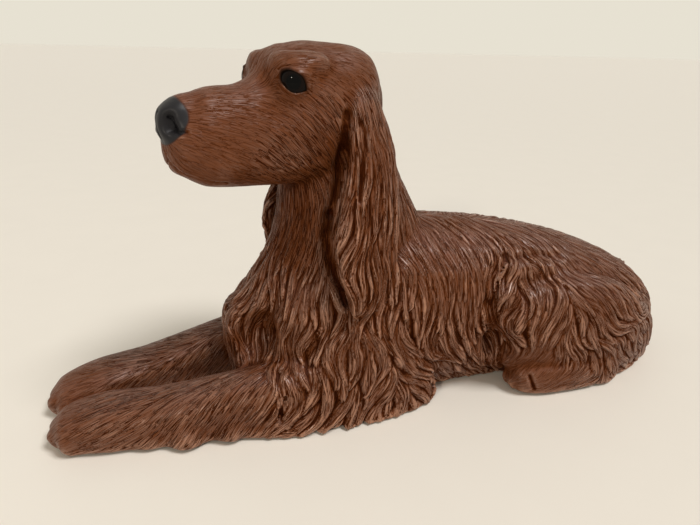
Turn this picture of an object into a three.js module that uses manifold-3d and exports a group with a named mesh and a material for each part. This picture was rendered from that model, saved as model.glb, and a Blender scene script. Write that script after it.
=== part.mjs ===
// Reclining long-coated gundog figurine: castings pegged and bonded together, glass eyes and a felted base.
// Millimetres. +X runs towards the head, +Y to the dog's left, +Z up. The origin is under its middle.
import * as THREE from "three";
import { mergeVertices } from "three/addons/utils/BufferGeometryUtils.js";
import Module from "manifold-3d";

const wasm = await Module();
wasm.setup();

// Joints and base
const bondLine = 0.3; // adhesive gap left between two castings
const pegClearance = 0.3; // round a peg in its socket
const pegEndRoom = 0.6; // between a peg's end and the bottom of its socket
const feltThickness = 1.2;
const feltInset = 2.5; // felt edge to the casting's edge
const feltGlue = 0.15; // film between the felt and what it is stuck to
const boardThickness = 3;
const boardLedge = 3.5; // how far the closing board laps onto the wall
const boardClearance = 0.3;
const trunkWall = 9;
const hollowCeiling = 58; // the hollow stops here, under the solid neck

// Pegs
const neckPegRadius = 11;
const neckPegReach = 18; // to each side of the neck joint
const limbPegRadius = 6;
const tailPegRadius = 3;
const earPegRadius = 2.2;

// Eyes
const eyeRadius = 6.8;
const eyeSocketClearance = 0.3;
const lidThickness = 1.4;
const lidOpeningLong = 11.5;
const lidOpeningHigh = 9.6;
const glassBack = 1.6; // from the eye's centre forward to the flat back of the glass
const irisThickness = 1.4;
const irisGlue = 0.2; // film between the painted disc and the glass

// Sizes and places of the forms. Each table after them holds shares of its own form's sizes.
// Trunk: sections across X, from the chest to the rump. wide is the half-breadth at the height mid.
const trunkSize = { length: 266, halfBreadth: 42, height: 92 };
const chestReach = 92; // chest front, ahead of the middle
const rump = chestReach - trunkSize.length;
const trunkSections = [
  { along: 0, mid: 0.41, wide: 0, top: 0.41, base: 0.41 },
  { along: 0.03, mid: 0.41, wide: 0.48, top: 0.58, base: 0.04 },
  { along: 0.095, mid: 0.45, wide: 0.76, top: 0.78, base: -0.07 },
  { along: 0.18, mid: 0.46, wide: 0.93, top: 0.96, base: -0.09 },
  { along: 0.285, mid: 0.47, wide: 1, top: 1, base: -0.09 },
  { along: 0.39, mid: 0.47, wide: 0.98, top: 0.96, base: -0.09 },
  { along: 0.505, mid: 0.46, wide: 0.98, top: 0.92, base: -0.09 },
  { along: 0.625, mid: 0.43, wide: 1, top: 0.85, base: -0.1 },
  { along: 0.735, mid: 0.39, wide: 0.98, top: 0.76, base: -0.11 },
  { along: 0.84, mid: 0.33, wide: 0.86, top: 0.64, base: -0.11 },
  { along: 0.925, mid: 0.25, wide: 0.67, top: 0.49, base: -0.09 },
  { along: 0.97, mid: 0.17, wide: 0.43, top: 0.33, base: -0.04 },
  { along: 1, mid: 0.12, wide: 0, top: 0.12, base: 0.12 },
];

// Neck: sections across Z. front and back are measured along X from the neck's place.
const neckSize = { depth: 98, halfBreadth: 35, height: 112 };
const neckPlace = { x: 33, z: 44 };
const neckSections = [
  { up: 0, front: 0.17, back: -0.26, wide: 0 },
  { up: 0.11, front: 0.5, back: -0.5, wide: 1 },
  { up: 0.27, front: 0.39, back: -0.49, wide: 0.91 },
  { up: 0.43, front: 0.33, back: -0.4, wide: 0.8 },
  { up: 0.59, front: 0.31, back: -0.3, wide: 0.71 },
  { up: 0.77, front: 0.29, back: -0.21, wide: 0.63 },
  { up: 0.91, front: 0.24, back: -0.17, wide: 0.54 },
  { up: 1, front: 0.09, back: -0.03, wide: 0 },
];

// The neck joint is a flat cut, square to the neck, that the ears cover.
const neckJoint = { x: 38, z: 108 };
const neckJointLean = 20; // degrees, higher behind

// Feathering that falls from each shoulder over the elbow to the table: sections across Z.
const shoulderSize = { long: 53, halfBreadth: 11, height: 88 };
const shoulderPlace = { x: 20, y: 27, z: 80 };
const shoulderSections = [
  { down: 0, ahead: 0, out: 0, long: 0, wide: 0 },
  { down: 0.11, ahead: 0, out: 0.27, long: 0.34, wide: 0.82 },
  { down: 0.36, ahead: 0.08, out: 0.68, long: 0.49, wide: 1 },
  { down: 0.64, ahead: 0.21, out: 0.91, long: 0.66, wide: 1 },
  { down: 0.86, ahead: 0.45, out: 1, long: 1, wide: 0.95 },
  { down: 1, ahead: 0.53, out: 1, long: 0, wide: 0 },
];

// Forelegs: sections square to a line along the leg, from the elbow, for the dog's left side.
const forelegSize = { length: 147, halfBreadth: 14.5, height: 15 };
const elbowPlace = { x: 24, y: 28, z: 23 };
const forelegSections = [
  { along: 0, out: 0, up: 0, wide: 0, rise: 0, drop: 0 },
  { along: 0.08, out: 0.14, up: -0.07, wide: 0.9, rise: 1, drop: 1.73 },
  { along: 0.26, out: 0.14, up: -0.27, wide: 0.97, rise: 0.97, drop: 1.73 },
  { along: 0.49, out: -0.14, up: -0.47, wide: 0.93, rise: 0.73, drop: 1.6 },
  { along: 0.695, out: -0.55, up: -0.67, wide: 0.9, rise: 0.6, drop: 1.47 },
  { along: 0.845, out: -0.86, up: -0.77, wide: 1, rise: 0.63, drop: 1.2 },
  { along: 0.925, out: -1, up: -0.9, wide: 0.93, rise: 0.57, drop: 0.93 },
  { along: 1, out: -1.07, up: -1.03, wide: 0, rise: 0, drop: 0 },
];
const rightPawAhead = 4; // the right forepaw lies this far in front of the left one
const pawSwing = 7; // both forepaws lie this far towards the dog's left
const forelegPegSpan = { root: 0.38, end: 0.12 }; // shares of the way from the elbow to the paw
const forelegPegOut = 6; // the peg's end lies this far out from the leg's line, clear of the hollow

// Hindquarters: the thigh, from the stifle back, and the hind foot on the table, for the dog's left side.
const thighSize = { length: 112, halfBreadth: 18, height: 32 };
const stiflePlace = { aheadOfRump: 132, y: 34, z: 26 };
const thighSections = [
  { along: 0, out: 0, up: 0.25, wide: 0, rise: 0, drop: 0 },
  { along: 0.08, out: 0.11, up: 0.25, wide: 0.76, rise: 0.72, drop: 0.78 },
  { along: 0.285, out: 0.17, up: 0.12, wide: 0.94, rise: 0.96, drop: 1.06 },
  { along: 0.5, out: 0.17, up: 0.03, wide: 1, rise: 1, drop: 1.06 },
  { along: 0.695, out: 0.08, up: -0.06, wide: 0.94, rise: 0.81, drop: 1 },
  { along: 0.865, out: -0.25, up: -0.22, wide: 0.81, rise: 0.59, drop: 0.81 },
  { along: 1, out: -0.56, up: -0.38, wide: 0, rise: 0, drop: 0 },
];
const hindFootSize = { length: 67, halfBreadth: 11.5, height: 10.5 };
const hockPlace = { aheadOfRump: 58, y: 44, z: 10 };
const hindFootSections = [
  { along: 0, out: 0, up: 0, wide: 0, rise: 0, drop: 0 },
  { along: 0.195, out: 0.17, up: 0, wide: 0.87, rise: 0.86, drop: 1.33 },
  { along: 0.535, out: 0.17, up: 0, wide: 0.91, rise: 0.95, drop: 1.33 },
  { along: 0.76, out: -0.04, up: -0.05, wide: 1, rise: 1, drop: 1.33 },
  { along: 0.895, out: -0.17, up: -0.14, wide: 0.87, rise: 0.81, drop: 1.14 },
  { along: 1, out: -0.26, up: -0.29, wide: 0, rise: 0, drop: 0 },
];
const hindPegPlace = { aheadOfRump: 82, y: 50, z: 30 };
const hindPegLength = 14;

// Toes of one paw: how far each lies from the paw's middle, and its tip from the paw's own end
const toeOut = { inner: 3.2, outer: 9.4 };
const toeAhead = { inner: 2, outer: -3 };
const toeLength = 19;
const toeHalfBreadth = 4.4;
const toeHeight = 5.2;
const hindToeScale = 0.8;

// Tail: falls from the croup and curls round the dog's right side on the table.
const tailSize = { back: 46, out: 57, fall: 45, radius: 9 };
const tailPlace = { aheadOfRump: 52, z: 49 };
const tailSections = [
  { along: 0, out: 0, up: 0, wide: 0, rise: 0, drop: 0 },
  { along: 0.35, out: -0.02, up: -0.04, wide: 1, rise: 0.6, drop: 0.8 },
  { along: 0.8, out: -0.14, up: -0.28, wide: 1.1, rise: 0.8, drop: 0.9 },
  { along: 1, out: -0.4, up: -0.67, wide: 1.05, rise: 0.9, drop: 1.1 },
  { along: 0.76, out: -0.72, up: -0.87, wide: 1.1, rise: 0.9, drop: 1.3 },
  { along: 0.22, out: -0.93, up: -0.91, wide: 1, rise: 0.8, drop: 1.3 },
  { along: -0.3, out: -1, up: -0.96, wide: 0.67, rise: 0.55, drop: 1.1 },
  { along: -0.61, out: -1, up: -1, wide: 0, rise: 0, drop: 0 },
];
const tailPegPlace = { aheadOfRump: 11, y: -11, z: 37 };
const tailPegWay = { x: 7, y: 3, z: -7 };

// Head frame: where it sits and how far it is turned. Everything below is in that frame, +X along the muzzle.
const headPlace = { x: 40, y: 2, z: 138 };
const headYaw = 20; // degrees, towards the dog's left
const skullSize = { length: 100.5, halfBreadth: 23.5, height: 32 };
const occiput = -24.5;
const skullSections = [
  { along: 0, mid: 0.19, wide: 0, top: 0.19, base: 0.19 },
  { along: 0.035, mid: 0.12, wide: 0.55, top: 0.62, base: -0.25 },
  { along: 0.125, mid: 0.03, wide: 0.85, top: 0.87, base: -0.56 },
  { along: 0.255, mid: 0, wide: 1, top: 0.98, base: -0.75 },
  { along: 0.385, mid: 0, wide: 0.98, top: 1, base: -0.83 },
  { along: 0.5, mid: 0, wide: 0.87, top: 0.92, base: -0.84 },
  { along: 0.57, mid: -0.06, wide: 0.75, top: 0.74, base: -0.83 },
  { along: 0.64, mid: -0.16, wide: 0.66, top: 0.54, base: -0.81 },
  { along: 0.75, mid: -0.25, wide: 0.62, top: 0.44, base: -0.78 },
  { along: 0.86, mid: -0.25, wide: 0.6, top: 0.36, base: -0.73 },
  { along: 0.94, mid: -0.25, wide: 0.51, top: 0.22, base: -0.58 },
  { along: 1, mid: -0.25, wide: 0, top: -0.25, base: -0.25 },
];
const noseSize = { length: 18, halfBreadth: 8.2, height: 8 };
const nosePlace = { x: 60, z: 3 };
const noseSections = [
  { along: 0, mid: 0, wide: 0, top: 0, base: 0 },
  { along: 0.22, mid: 0, wide: 0.91, top: 1, base: -0.88 },
  { along: 0.61, mid: -0.06, wide: 1, top: 1, base: -1 },
  { along: 0.89, mid: -0.12, wide: 0.79, top: 0.62, base: -0.88 },
  { along: 1, mid: -0.19, wide: 0, top: -0.19, base: -0.19 },
];
const nostril = { x: 76.5, y: 5.2, z: 1.5, radius: 2.2 };

// The brow ridge stands out from the skull, for the dog's left side.
const browSize = { length: 26, halfBreadth: 6.5, height: 5.5 };
const browPlace = { x: 10, y: 14, z: 22 };
const browSections = [
  { along: 0, out: 0, up: 0, wide: 0, rise: 0, drop: 0 },
  { along: 0.31, out: 0.08, up: 0.09, wide: 1, rise: 1, drop: 0.91 },
  { along: 0.69, out: -0.23, up: 0.09, wide: 1, rise: 1, drop: 0.91 },
  { along: 1, out: -0.92, up: -0.73, wide: 0, rise: 0, drop: 0 },
];
const eyePlace = { x: 26.3, y: 13.6, z: 16.6 };
const eyeOutward = 50; // degrees from straight ahead

// Ears: sections across the head frame's Z, for the dog's left ear.
const earSize = { long: 16, halfBreadth: 5.5, height: 98 };
const earPlace = { x: -2, y: 18, z: 16 };
const earSections = [
  { down: 0, ahead: 0, out: 0, long: 0, wide: 0 },
  { down: 0.075, ahead: -0.06, out: 0.64, long: 0.5, wide: 0.73 },
  { down: 0.285, ahead: -0.12, out: 1.64, long: 0.78, wide: 0.91 },
  { down: 0.46, ahead: 0, out: 2.1, long: 0.95, wide: 0.95 },
  { down: 0.64, ahead: 0.25, out: 2.75, long: 1.15, wide: 1 },
  { down: 0.8, ahead: 0.4, out: 3.35, long: 0.95, wide: 1 },
  { down: 0.92, ahead: 0.55, out: 3.82, long: 0.6, wide: 0.91 },
  { down: 1, ahead: 0.7, out: 4, long: 0, wide: 0 },
];
const rightEarBack = 5; // the right ear hangs this far back at its lower end
const earPegPlace = { x: -4, y: 26, z: -2 };
const earPegLength = 12;

// Main locks of the feathering on the trunk: each patch is a fan of them, from upper to lower edge.
// ahead, out and up are measured from the patch's form, in shares of its sizes, at the edges' two ends.
const lockSize = { halfBreadth: 4.4, height: 2 };
const lockSpacing = 12; // between neighbours at a patch's longer edge
const lockSwing = 2.8; // how far a lock's line waves to each side
const lockWave = 38; // distance along a lock from one wave to the next
const shoulderLocks = {
  upper: [{ ahead: -0.26, up: -0.11 }, { ahead: 0.62, up: -0.13 }],
  lower: [{ ahead: -0.53, up: -0.83 }, { ahead: 1.02, up: -0.84 }],
};
const flankLocks = {
  upper: [{ ahead: -0.39, up: 0.46 }, { ahead: -0.47, up: 0.45 }],
  lower: [{ ahead: -0.41, up: 0.1 }, { ahead: -0.52, up: 0.1 }],
};
const chestLocks = {
  upper: [{ out: -0.5, up: 0.78 }, { out: 0.5, up: 0.78 }],
  lower: [{ out: -0.62, up: 0.14 }, { out: 0.62, up: 0.14 }],
};

// Mesh fineness
const ringsPerSpan = 2;
const tipRings = 3; // rings that round off each end of a form
const pegSides = 16;
const hollowSides = 16;
const lockRings = 8;
const lockSides = 5;

// Finishes
const coat = new THREE.MeshStandardMaterial({ color: 0x5a2a1c, roughness: 0.5, metalness: 0 });
const glass = new THREE.MeshStandardMaterial({ color: 0x0a0806, roughness: 0.05, metalness: 0 });
const iris = new THREE.MeshStandardMaterial({ color: 0x1c0d06, roughness: 0.3, metalness: 0 });
const board = new THREE.MeshStandardMaterial({ color: 0x6b5236, roughness: 0.8, metalness: 0 });
const felt = new THREE.MeshStandardMaterial({ color: 0x2a211b, roughness: 0.95, metalness: 0 });

const left = 1;
const right = -1;
const axisX = new THREE.Vector3(1, 0, 0);
const axisY = new THREE.Vector3(0, 1, 0);
const axisZ = new THREE.Vector3(0, 0, 1);
const roomy = 900; // side of the blocks that stand for half spaces
const overcut = 1; // how far a cut runs past the surface that it opens
const degrees = THREE.MathUtils.degToRad;

// Rows of shares become centres in millimetres with two half-axes, the second with its own size each way.
const acrossX = (rows, { x, z = 0 }, { length, halfBreadth, height }) =>
  rows.map((r) => ({
    at: [x + r.along * length, 0, z + r.mid * height],
    wide: r.wide * halfBreadth,
    rise: (r.top - r.mid) * height,
    drop: (r.mid - r.base) * height,
  }));
const acrossZ = (rows, { x, y, z }, { long, halfBreadth, height }) =>
  rows.map((r) => ({
    at: [x + r.ahead * long, y + r.out * halfBreadth, z - r.down * height],
    wide: r.wide * halfBreadth,
    rise: r.long * long,
    drop: r.long * long,
  }));
const alongLine = (rows, { x, y, z }, { length, halfBreadth, height }) =>
  rows.map((r) => ({
    at: [x + r.along * length, y + r.out * halfBreadth, z + r.up * height],
    wide: r.wide * halfBreadth,
    rise: r.rise * height,
    drop: r.drop * height,
  }));
const fromRump = ({ aheadOfRump, y = 0, z }) => ({ x: rump + aheadOfRump, y, z });
const reversed = (size) => ({ ...size, length: -size.length });
const trunkRows = acrossX(trunkSections, { x: chestReach }, reversed(trunkSize));
const neckRows = neckSections.map((r) => ({
  at: [neckPlace.x + ((r.front + r.back) / 2) * neckSize.depth, 0, neckPlace.z + r.up * neckSize.height],
  wide: r.wide * neckSize.halfBreadth,
  rise: r.wide ? ((r.front - r.back) / 2) * neckSize.depth : 0,
  drop: r.wide ? ((r.front - r.back) / 2) * neckSize.depth : 0,
}));
const shoulderRows = acrossZ(shoulderSections, shoulderPlace, shoulderSize);
const thighRows = alongLine(thighSections, fromRump(stiflePlace), reversed(thighSize));
const hindFootRows = alongLine(hindFootSections, fromRump(hockPlace), hindFootSize);
const tailRoot = fromRump(tailPlace);
const tailRows = tailSections.map((r) => ({
  at: [tailRoot.x - r.along * tailSize.back, r.out * tailSize.out, tailRoot.z + r.up * tailSize.fall],
  wide: r.wide * tailSize.radius,
  rise: r.rise * tailSize.radius,
  drop: r.drop * tailSize.radius,
}));
const skullRows = acrossX(skullSections, { x: occiput }, skullSize);
const noseRows = acrossX(noseSections, nosePlace, noseSize);
const browRows = alongLine(browSections, browPlace, browSize);

// The foreleg's rows with the swing of the paws, which goes the same way on both sides
function forelegRows(side) {
  const ahead = side === right ? rightPawAhead : 0;
  return alongLine(forelegSections, elbowPlace, forelegSize).map((r, i) => {
    const share = forelegSections[i].along;
    return { ...r, at: [r.at[0] + ahead * share, r.at[1] + side * pawSwing * share, r.at[2]] };
  });
}
function earRows(side) {
  const back = side === right ? rightEarBack : 0;
  return acrossZ(earSections, earPlace, earSize).map((r, i) => {
    return { ...r, at: [r.at[0] - back * earSections[i].down, r.at[1], r.at[2]] };
  });
}

// One size of the sections at a share t of the way. The end spans round off like a quarter ellipse.
function sizeAt(curve, key, rows, t) {
  const spans = rows.length - 1;
  const place = t * spans;
  if (place < 1) return rows[1][key] * Math.sqrt(1 - (1 - place) ** 2);
  if (place > spans - 1) return rows[spans - 1][key] * Math.sqrt(Math.max(0, 1 - (place - spans + 1) ** 2));
  return curve[key].getPoint((place - 1) / (spans - 2)).x;
}

// Shares of the way where rings go: even in the middle spans, closing up towards the rounded ends.
function ringPlaces(spans) {
  const nearEnd = (i) => (1 - Math.cos((Math.PI / 2) * (i / tipRings))) / spans;
  const places = [];
  for (let i = 1; i <= tipRings; i++) places.push(nearEnd(i));
  for (let i = 1; i <= (spans - 2) * ringsPerSpan; i++) places.push((1 + i / ringsPerSpan) / spans);
  for (let i = tipRings - 1; i >= 1; i--) places.push(1 - nearEnd(i));
  return places;
}

// A power that keeps the sign, for the rounded square outline of a section
const signedPower = (value, power) => Math.sign(value) * Math.abs(value) ** power;

// A closed form swept through sections. inset shrinks it on every side, and a negative inset grows it.
function sweep(rows, { around = 18, square = 2, across = null, inset = 0, side = left } = {}) {
  const centres = new THREE.CatmullRomCurve3(rows.map((r) => new THREE.Vector3(...r.at)));
  const inner = rows.slice(1, -1);
  const curve = {};
  for (const key of ["wide", "rise", "drop"]) {
    curve[key] = new THREE.CatmullRomCurve3(inner.map((r, i) => new THREE.Vector3(r[key], i, 0)));
  }
  const points = [centres.getPoint(0).addScaledVector(centres.getTangent(0), inset)];
  for (const t of ringPlaces(rows.length - 1)) {
    const centre = centres.getPoint(t);
    const tangent = centres.getTangent(t);
    const u = across ? across.u : new THREE.Vector3().crossVectors(axisZ, tangent).normalize();
    const v = across ? across.v : new THREE.Vector3().crossVectors(tangent, u).normalize();
    const size = (key) => Math.max(sizeAt(curve, key, rows, t) - inset, bondLine / 4);
    const [wide, rise, drop] = ["wide", "rise", "drop"].map(size);
    for (let i = 0; i < around; i++) {
      const angle = (2 * Math.PI * i) / around;
      const c = signedPower(Math.cos(angle), 2 / square);
      const s = signedPower(Math.sin(angle), 2 / square);
      points.push(centre.clone().addScaledVector(u, wide * c).addScaledVector(v, (s > 0 ? rise : drop) * s));
    }
  }
  points.push(centres.getPoint(1).addScaledVector(centres.getTangent(1), -inset));
  return closedRings(points, around, side);
}

// Joins rings, with a point at each end, into one closed surface that faces out.
function closedRings(points, around, side) {
  const rings = (points.length - 2) / around;
  const last = points.length - 1;
  const faces = [];
  for (let i = 0; i < around; i++) {
    const j = (i + 1) % around;
    faces.push([0, 1 + j, 1 + i], [last, last - around + i, last - around + j]);
    for (let r = 0; r < rings - 1; r++) {
      const a = 1 + r * around;
      faces.push([a + i, a + j, a + around + j], [a + i, a + around + j, a + around + i]);
    }
  }
  const placed = points.map((p) => new THREE.Vector3(p.x, side * p.y, p.z));
  const volume = faces.reduce((sum, [a, b, c]) => {
    return sum + placed[a].dot(new THREE.Vector3().crossVectors(placed[b], placed[c]));
  }, 0);
  const index = faces.flatMap(([a, b, c]) => (volume < 0 ? [a, c, b] : [a, b, c]));
  const geometry = new THREE.BufferGeometry();
  geometry.setAttribute("position", new THREE.Float32BufferAttribute(placed.flatMap((p) => p.toArray()), 3));
  return geometry.setIndex(index);
}

// A three.js geometry as a solid that can be cut and joined, moved by a matrix where one is given
function solid(geometry, matrix = null) {
  const bare = geometry.clone();
  bare.deleteAttribute("normal");
  bare.deleteAttribute("uv");
  if (matrix) bare.applyMatrix4(matrix);
  const merged = mergeVertices(bare, 1e-4);
  const mesh = new wasm.Mesh({
    numProp: 3,
    vertProperties: merged.attributes.position.array,
    triVerts: new Uint32Array(merged.index.array),
  });
  return new wasm.Manifold(mesh);
}

const union = (bodies) => bodies.reduce((a, b) => a.add(b));
const largest = (body) => body.decompose().reduce((a, b) => (a.volume() > b.volume() ? a : b));

// A round peg between two points, or with fit the socket that it goes into
function peg({ from, to }, radius, side, fit = false, matrix = null) {
  const start = new THREE.Vector3(from.x, side * from.y, from.z);
  const along = new THREE.Vector3(to.x, side * to.y, to.z).sub(start);
  const length = along.length() + (fit ? pegEndRoom : 0);
  const grown = radius + (fit ? pegClearance : 0);
  const turn = new THREE.Quaternion().setFromUnitVectors(axisY, along.normalize());
  const rod = new THREE.CylinderGeometry(grown, grown, length, pegSides).translate(0, length / 2, 0);
  return solid(rod.applyQuaternion(turn).translate(start.x, start.y, start.z), matrix);
}
const socket = (ends, radius, side, matrix = null) => peg(ends, radius, side, true, matrix);

// Where the pegs run, for the dog's left side
function forelegPeg(side) {
  const line = new THREE.CatmullRomCurve3(forelegRows(side).map((r) => new THREE.Vector3(...r.at)));
  const end = line.getPoint(forelegPegSpan.end);
  end.y += forelegPegOut;
  return { from: line.getPoint(forelegPegSpan.root), to: end };
}
const hindPegRoot = fromRump(hindPegPlace);
const hindPeg = { from: hindPegRoot, to: { ...hindPegRoot, y: hindPegRoot.y - hindPegLength } };
const tailPegRoot = new THREE.Vector3().copy(fromRump(tailPegPlace));
const tailPeg = { from: tailPegRoot, to: tailPegRoot.clone().add(tailPegWay) };
const earPeg = { from: earPegPlace, to: { ...earPegPlace, y: earPegPlace.y - earPegLength } };

// Forms of the body
const level = { u: axisY, v: axisX };
const upright = { u: axisY, v: axisZ };
const trunkForm = (inset, around = 22) => sweep(trunkRows, { around, square: 2.2, across: upright, inset });
const neckForm = (inset) => sweep(neckRows, { across: level, inset });
const shoulderForm = (side, inset) => sweep(shoulderRows, { around: 16, across: level, inset, side });
const thighForm = (side, inset) => sweep(thighRows, { around: 16, across: upright, inset, side });
const hindFootForm = (side, inset) => sweep(hindFootRows, { around: 12, square: 2.3, inset, side });
const tailForm = (inset) => sweep(tailRows, { around: 12, inset });
const forelegForm = (side, inset) => sweep(forelegRows(side), { around: 14, square: 2.3, inset, side });

// One toe at the end of a paw, as a solid
function toe([x, y, z], across, ahead, side, scale, inset) {
  const size = { wide: toeHalfBreadth * scale, rise: toeHeight * scale, drop: toeHeight * 2 * scale };
  const none = { wide: 0, rise: 0, drop: 0 };
  const at = (back, spread, up) => [
    x + (ahead - back * toeLength) * scale,
    y + across * spread * scale,
    z + up * toeHeight,
  ];
  const rows = [
    { at: at(1, 0.7, 0.3), ...none },
    { at: at(0.7, 0.8, 0.3), ...size },
    { at: at(0.3, 1, 0), ...size },
    { at: at(0, 1, -0.4), ...none },
  ];
  return solid(sweep(rows, { around: 8, inset, side }));
}
function toes(end, side, scale, inset) {
  const made = (which, way) => toe(end, way * toeOut[which], toeAhead[which], side, scale, inset);
  return [made("outer", -1), made("inner", -1), made("inner", 1), made("outer", 1)];
}
const forelegBody = (side, inset) =>
  union([solid(forelegForm(side, inset)), ...toes(forelegRows(side).at(-1).at, side, 1, inset)]);
const hindBody = (side, inset) =>
  union([
    solid(thighForm(side, inset)),
    solid(hindFootForm(side, inset)),
    ...toes(hindFootRows.at(-1).at, side, hindToeScale, inset),
  ]);
const bareTrunk = (inset) =>
  union([
    solid(trunkForm(inset)),
    solid(neckForm(inset)),
    solid(shoulderForm(left, inset)),
    solid(shoulderForm(right, inset)),
  ]);

// Where a lock's line, seen from the side or from the front, lies on the bare trunk
const laidOn = piece("bare_trunk", bareTrunk(0), coat);
const caster = new THREE.Raycaster();
function laid(point, inward) {
  caster.set(point.clone().addScaledVector(inward, -roomy), inward);
  return caster.intersectObject(laidOn)[0];
}

// The lines of a patch of locks on the trunk's surface: waves, each one shifted against its neighbour
function lockLines({ upper, lower }, place, inward) {
  const edges = [upper, lower].map((edge) => edge.map(place));
  const broadest = Math.max(...edges.map(([a, b]) => a.distanceTo(b)));
  const count = Math.max(2, Math.round(broadest / lockSpacing));
  return Array.from({ length: count }, (_, i) => {
    const [start, end] = edges.map(([a, b]) => a.clone().lerp(b, (i + 0.5) / count));
    const length = start.distanceTo(end);
    const aside = end.clone().sub(start).cross(inward).normalize();
    const hits = [];
    for (let k = 0; k <= lockRings + 1; k++) {
      const share = k / (lockRings + 1);
      const swing = lockSwing * Math.sin((2 * Math.PI * share * length) / lockWave + i);
      const hit = laid(start.clone().lerp(end, share).addScaledVector(aside, swing), inward);
      if (hit) hits.push(hit);
    }
    return hits;
  });
}

// One lock: a crested ridge along its line that tapers to both ends
function lock(hits, side, inset) {
  const line = new THREE.CatmullRomCurve3(hits.map((hit) => hit.point));
  const facing = new THREE.CatmullRomCurve3(hits.map((hit) => hit.face.normal));
  const points = [line.getPoint(0)];
  for (let i = 1; i <= lockRings; i++) {
    const t = i / (lockRings + 1);
    const taper = Math.sqrt(Math.sin(Math.PI * t));
    const out = facing.getPoint(t).normalize();
    const across = new THREE.Vector3().crossVectors(line.getTangent(t), out).normalize();
    for (let k = 0; k < lockSides; k++) {
      const angle = Math.PI / 2 + (2 * Math.PI * k) / lockSides;
      const wide = (lockSize.halfBreadth * taper - inset) * Math.cos(angle);
      const high = (lockSize.height * taper - inset) * Math.sin(angle);
      points.push(line.getPoint(t).addScaledVector(across, wide).addScaledVector(out, high));
    }
  }
  points.push(line.getPoint(1));
  return solid(closedRings(points, lockSides, side));
}

const fromLeft = axisY.clone().negate();
const fromFront = axisX.clone().negate();
const onShoulder = ({ ahead, up }) => {
  const { x, z } = shoulderPlace;
  return new THREE.Vector3(x + ahead * shoulderSize.long, 0, z + up * shoulderSize.height);
};
const onTrunk = ({ ahead = 0, out = 0, up }) => {
  const { length, halfBreadth, height } = trunkSize;
  return new THREE.Vector3(chestReach + ahead * length, out * halfBreadth, up * height);
};
const sideLocks = [
  ...lockLines(shoulderLocks, onShoulder, fromLeft),
  ...lockLines(flankLocks, onTrunk, fromLeft),
];
const frontLocks = lockLines(chestLocks, onTrunk, fromFront);
const locks = (inset) => [
  ...[left, right].flatMap((side) => sideLocks.map((hits) => lock(hits, side, inset))),
  ...frontLocks.map((hits) => lock(hits, left, inset)),
];
const trunkBody = (inset) => union([bareTrunk(inset), ...locks(inset)]);
const grownTrunk = trunkBody(-bondLine);

// Everything below the castings' flat underside
const below = solid(new THREE.BoxGeometry(roomy, roomy, roomy).translate(0, 0, feltThickness - roomy / 2));

// The neck joint's plane, and everything on the head's side of it from a height over the plane
const neckJointTurn = new THREE.Quaternion().setFromAxisAngle(axisY, degrees(neckJointLean));
const neckJointUp = axisZ.clone().applyQuaternion(neckJointTurn);
const neckJointPoint = new THREE.Vector3(neckJoint.x, 0, neckJoint.z);
const neckPeg = {
  from: neckJointPoint.clone().addScaledVector(neckJointUp, neckPegReach),
  to: neckJointPoint.clone().addScaledVector(neckJointUp, -neckPegReach),
};
function aboveNeckJoint(height) {
  const box = new THREE.BoxGeometry(roomy, roomy, roomy).translate(0, 0, roomy / 2 + height);
  return solid(box.applyQuaternion(neckJointTurn).translate(neckJoint.x, 0, neckJoint.z));
}

// A level slice of the trunk's own form, drawn in from its outline
function slice(inset, from, to) {
  const box = new THREE.BoxGeometry(roomy, roomy, to - from).translate(0, 0, (from + to) / 2);
  return solid(trunkForm(inset, hollowSides)).intersect(solid(box));
}

// Trunk with neck stump and shoulder feathering: hollow from below, with a rebate for the closing board
function trunkCasting() {
  const under = feltThickness - overcut;
  const rebateTop = feltThickness + boardThickness + boardClearance;
  const openings = [
    aboveNeckJoint(-bondLine),
    slice(trunkWall, under, hollowCeiling),
    slice(trunkWall - boardLedge - boardClearance, under, rebateTop),
    socket(neckPeg, neckPegRadius, left),
    socket(forelegPeg(left), limbPegRadius, left),
    socket(forelegPeg(right), limbPegRadius, right),
    socket(hindPeg, limbPegRadius, left),
    socket(hindPeg, limbPegRadius, right),
    socket(tailPeg, tailPegRadius, left),
    below,
  ];
  return largest(openings.reduce((body, opening) => body.subtract(opening), trunkBody(0)));
}

// Forelegs: the paws lie against each other, and the right one is cut to the left one.
function forelegCasting(side) {
  const own = forelegBody(side, 0).subtract(grownTrunk);
  const fitted = side === left ? own : own.subtract(forelegBody(left, -bondLine));
  return largest(fitted.add(peg(forelegPeg(side), limbPegRadius, side)).subtract(below));
}

function hindCasting(side) {
  const shell = hindBody(side, 0).subtract(grownTrunk);
  return largest(shell.add(peg(hindPeg, limbPegRadius, side)).subtract(below));
}

function tailCasting() {
  const draped = solid(tailForm(0)).subtract(grownTrunk).subtract(hindBody(right, -bondLine));
  return largest(draped.add(peg(tailPeg, tailPegRadius, left)).subtract(below));
}

const baseBoard = () => slice(trunkWall - boardLedge, feltThickness, feltThickness + boardThickness);
const baseFelt = () => slice(feltInset, 0, feltThickness - feltGlue);

// Head frame, and the head's forms in it
const headTurn = new THREE.Matrix4().makeRotationZ(degrees(headYaw));
const headMatrix = headTurn.clone().setPosition(headPlace.x, headPlace.y, headPlace.z);
const skullForm = (inset) => sweep(skullRows, { around: 20, square: 2.3, across: upright, inset });
const noseForm = (inset) => sweep(noseRows, { around: 14, square: 2.4, across: upright, inset });
const browForm = (side, inset) => sweep(browRows, { around: 10, across: upright, inset, side });

const earForm = (side) => sweep(earRows(side), { around: 12, across: level, side });

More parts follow.
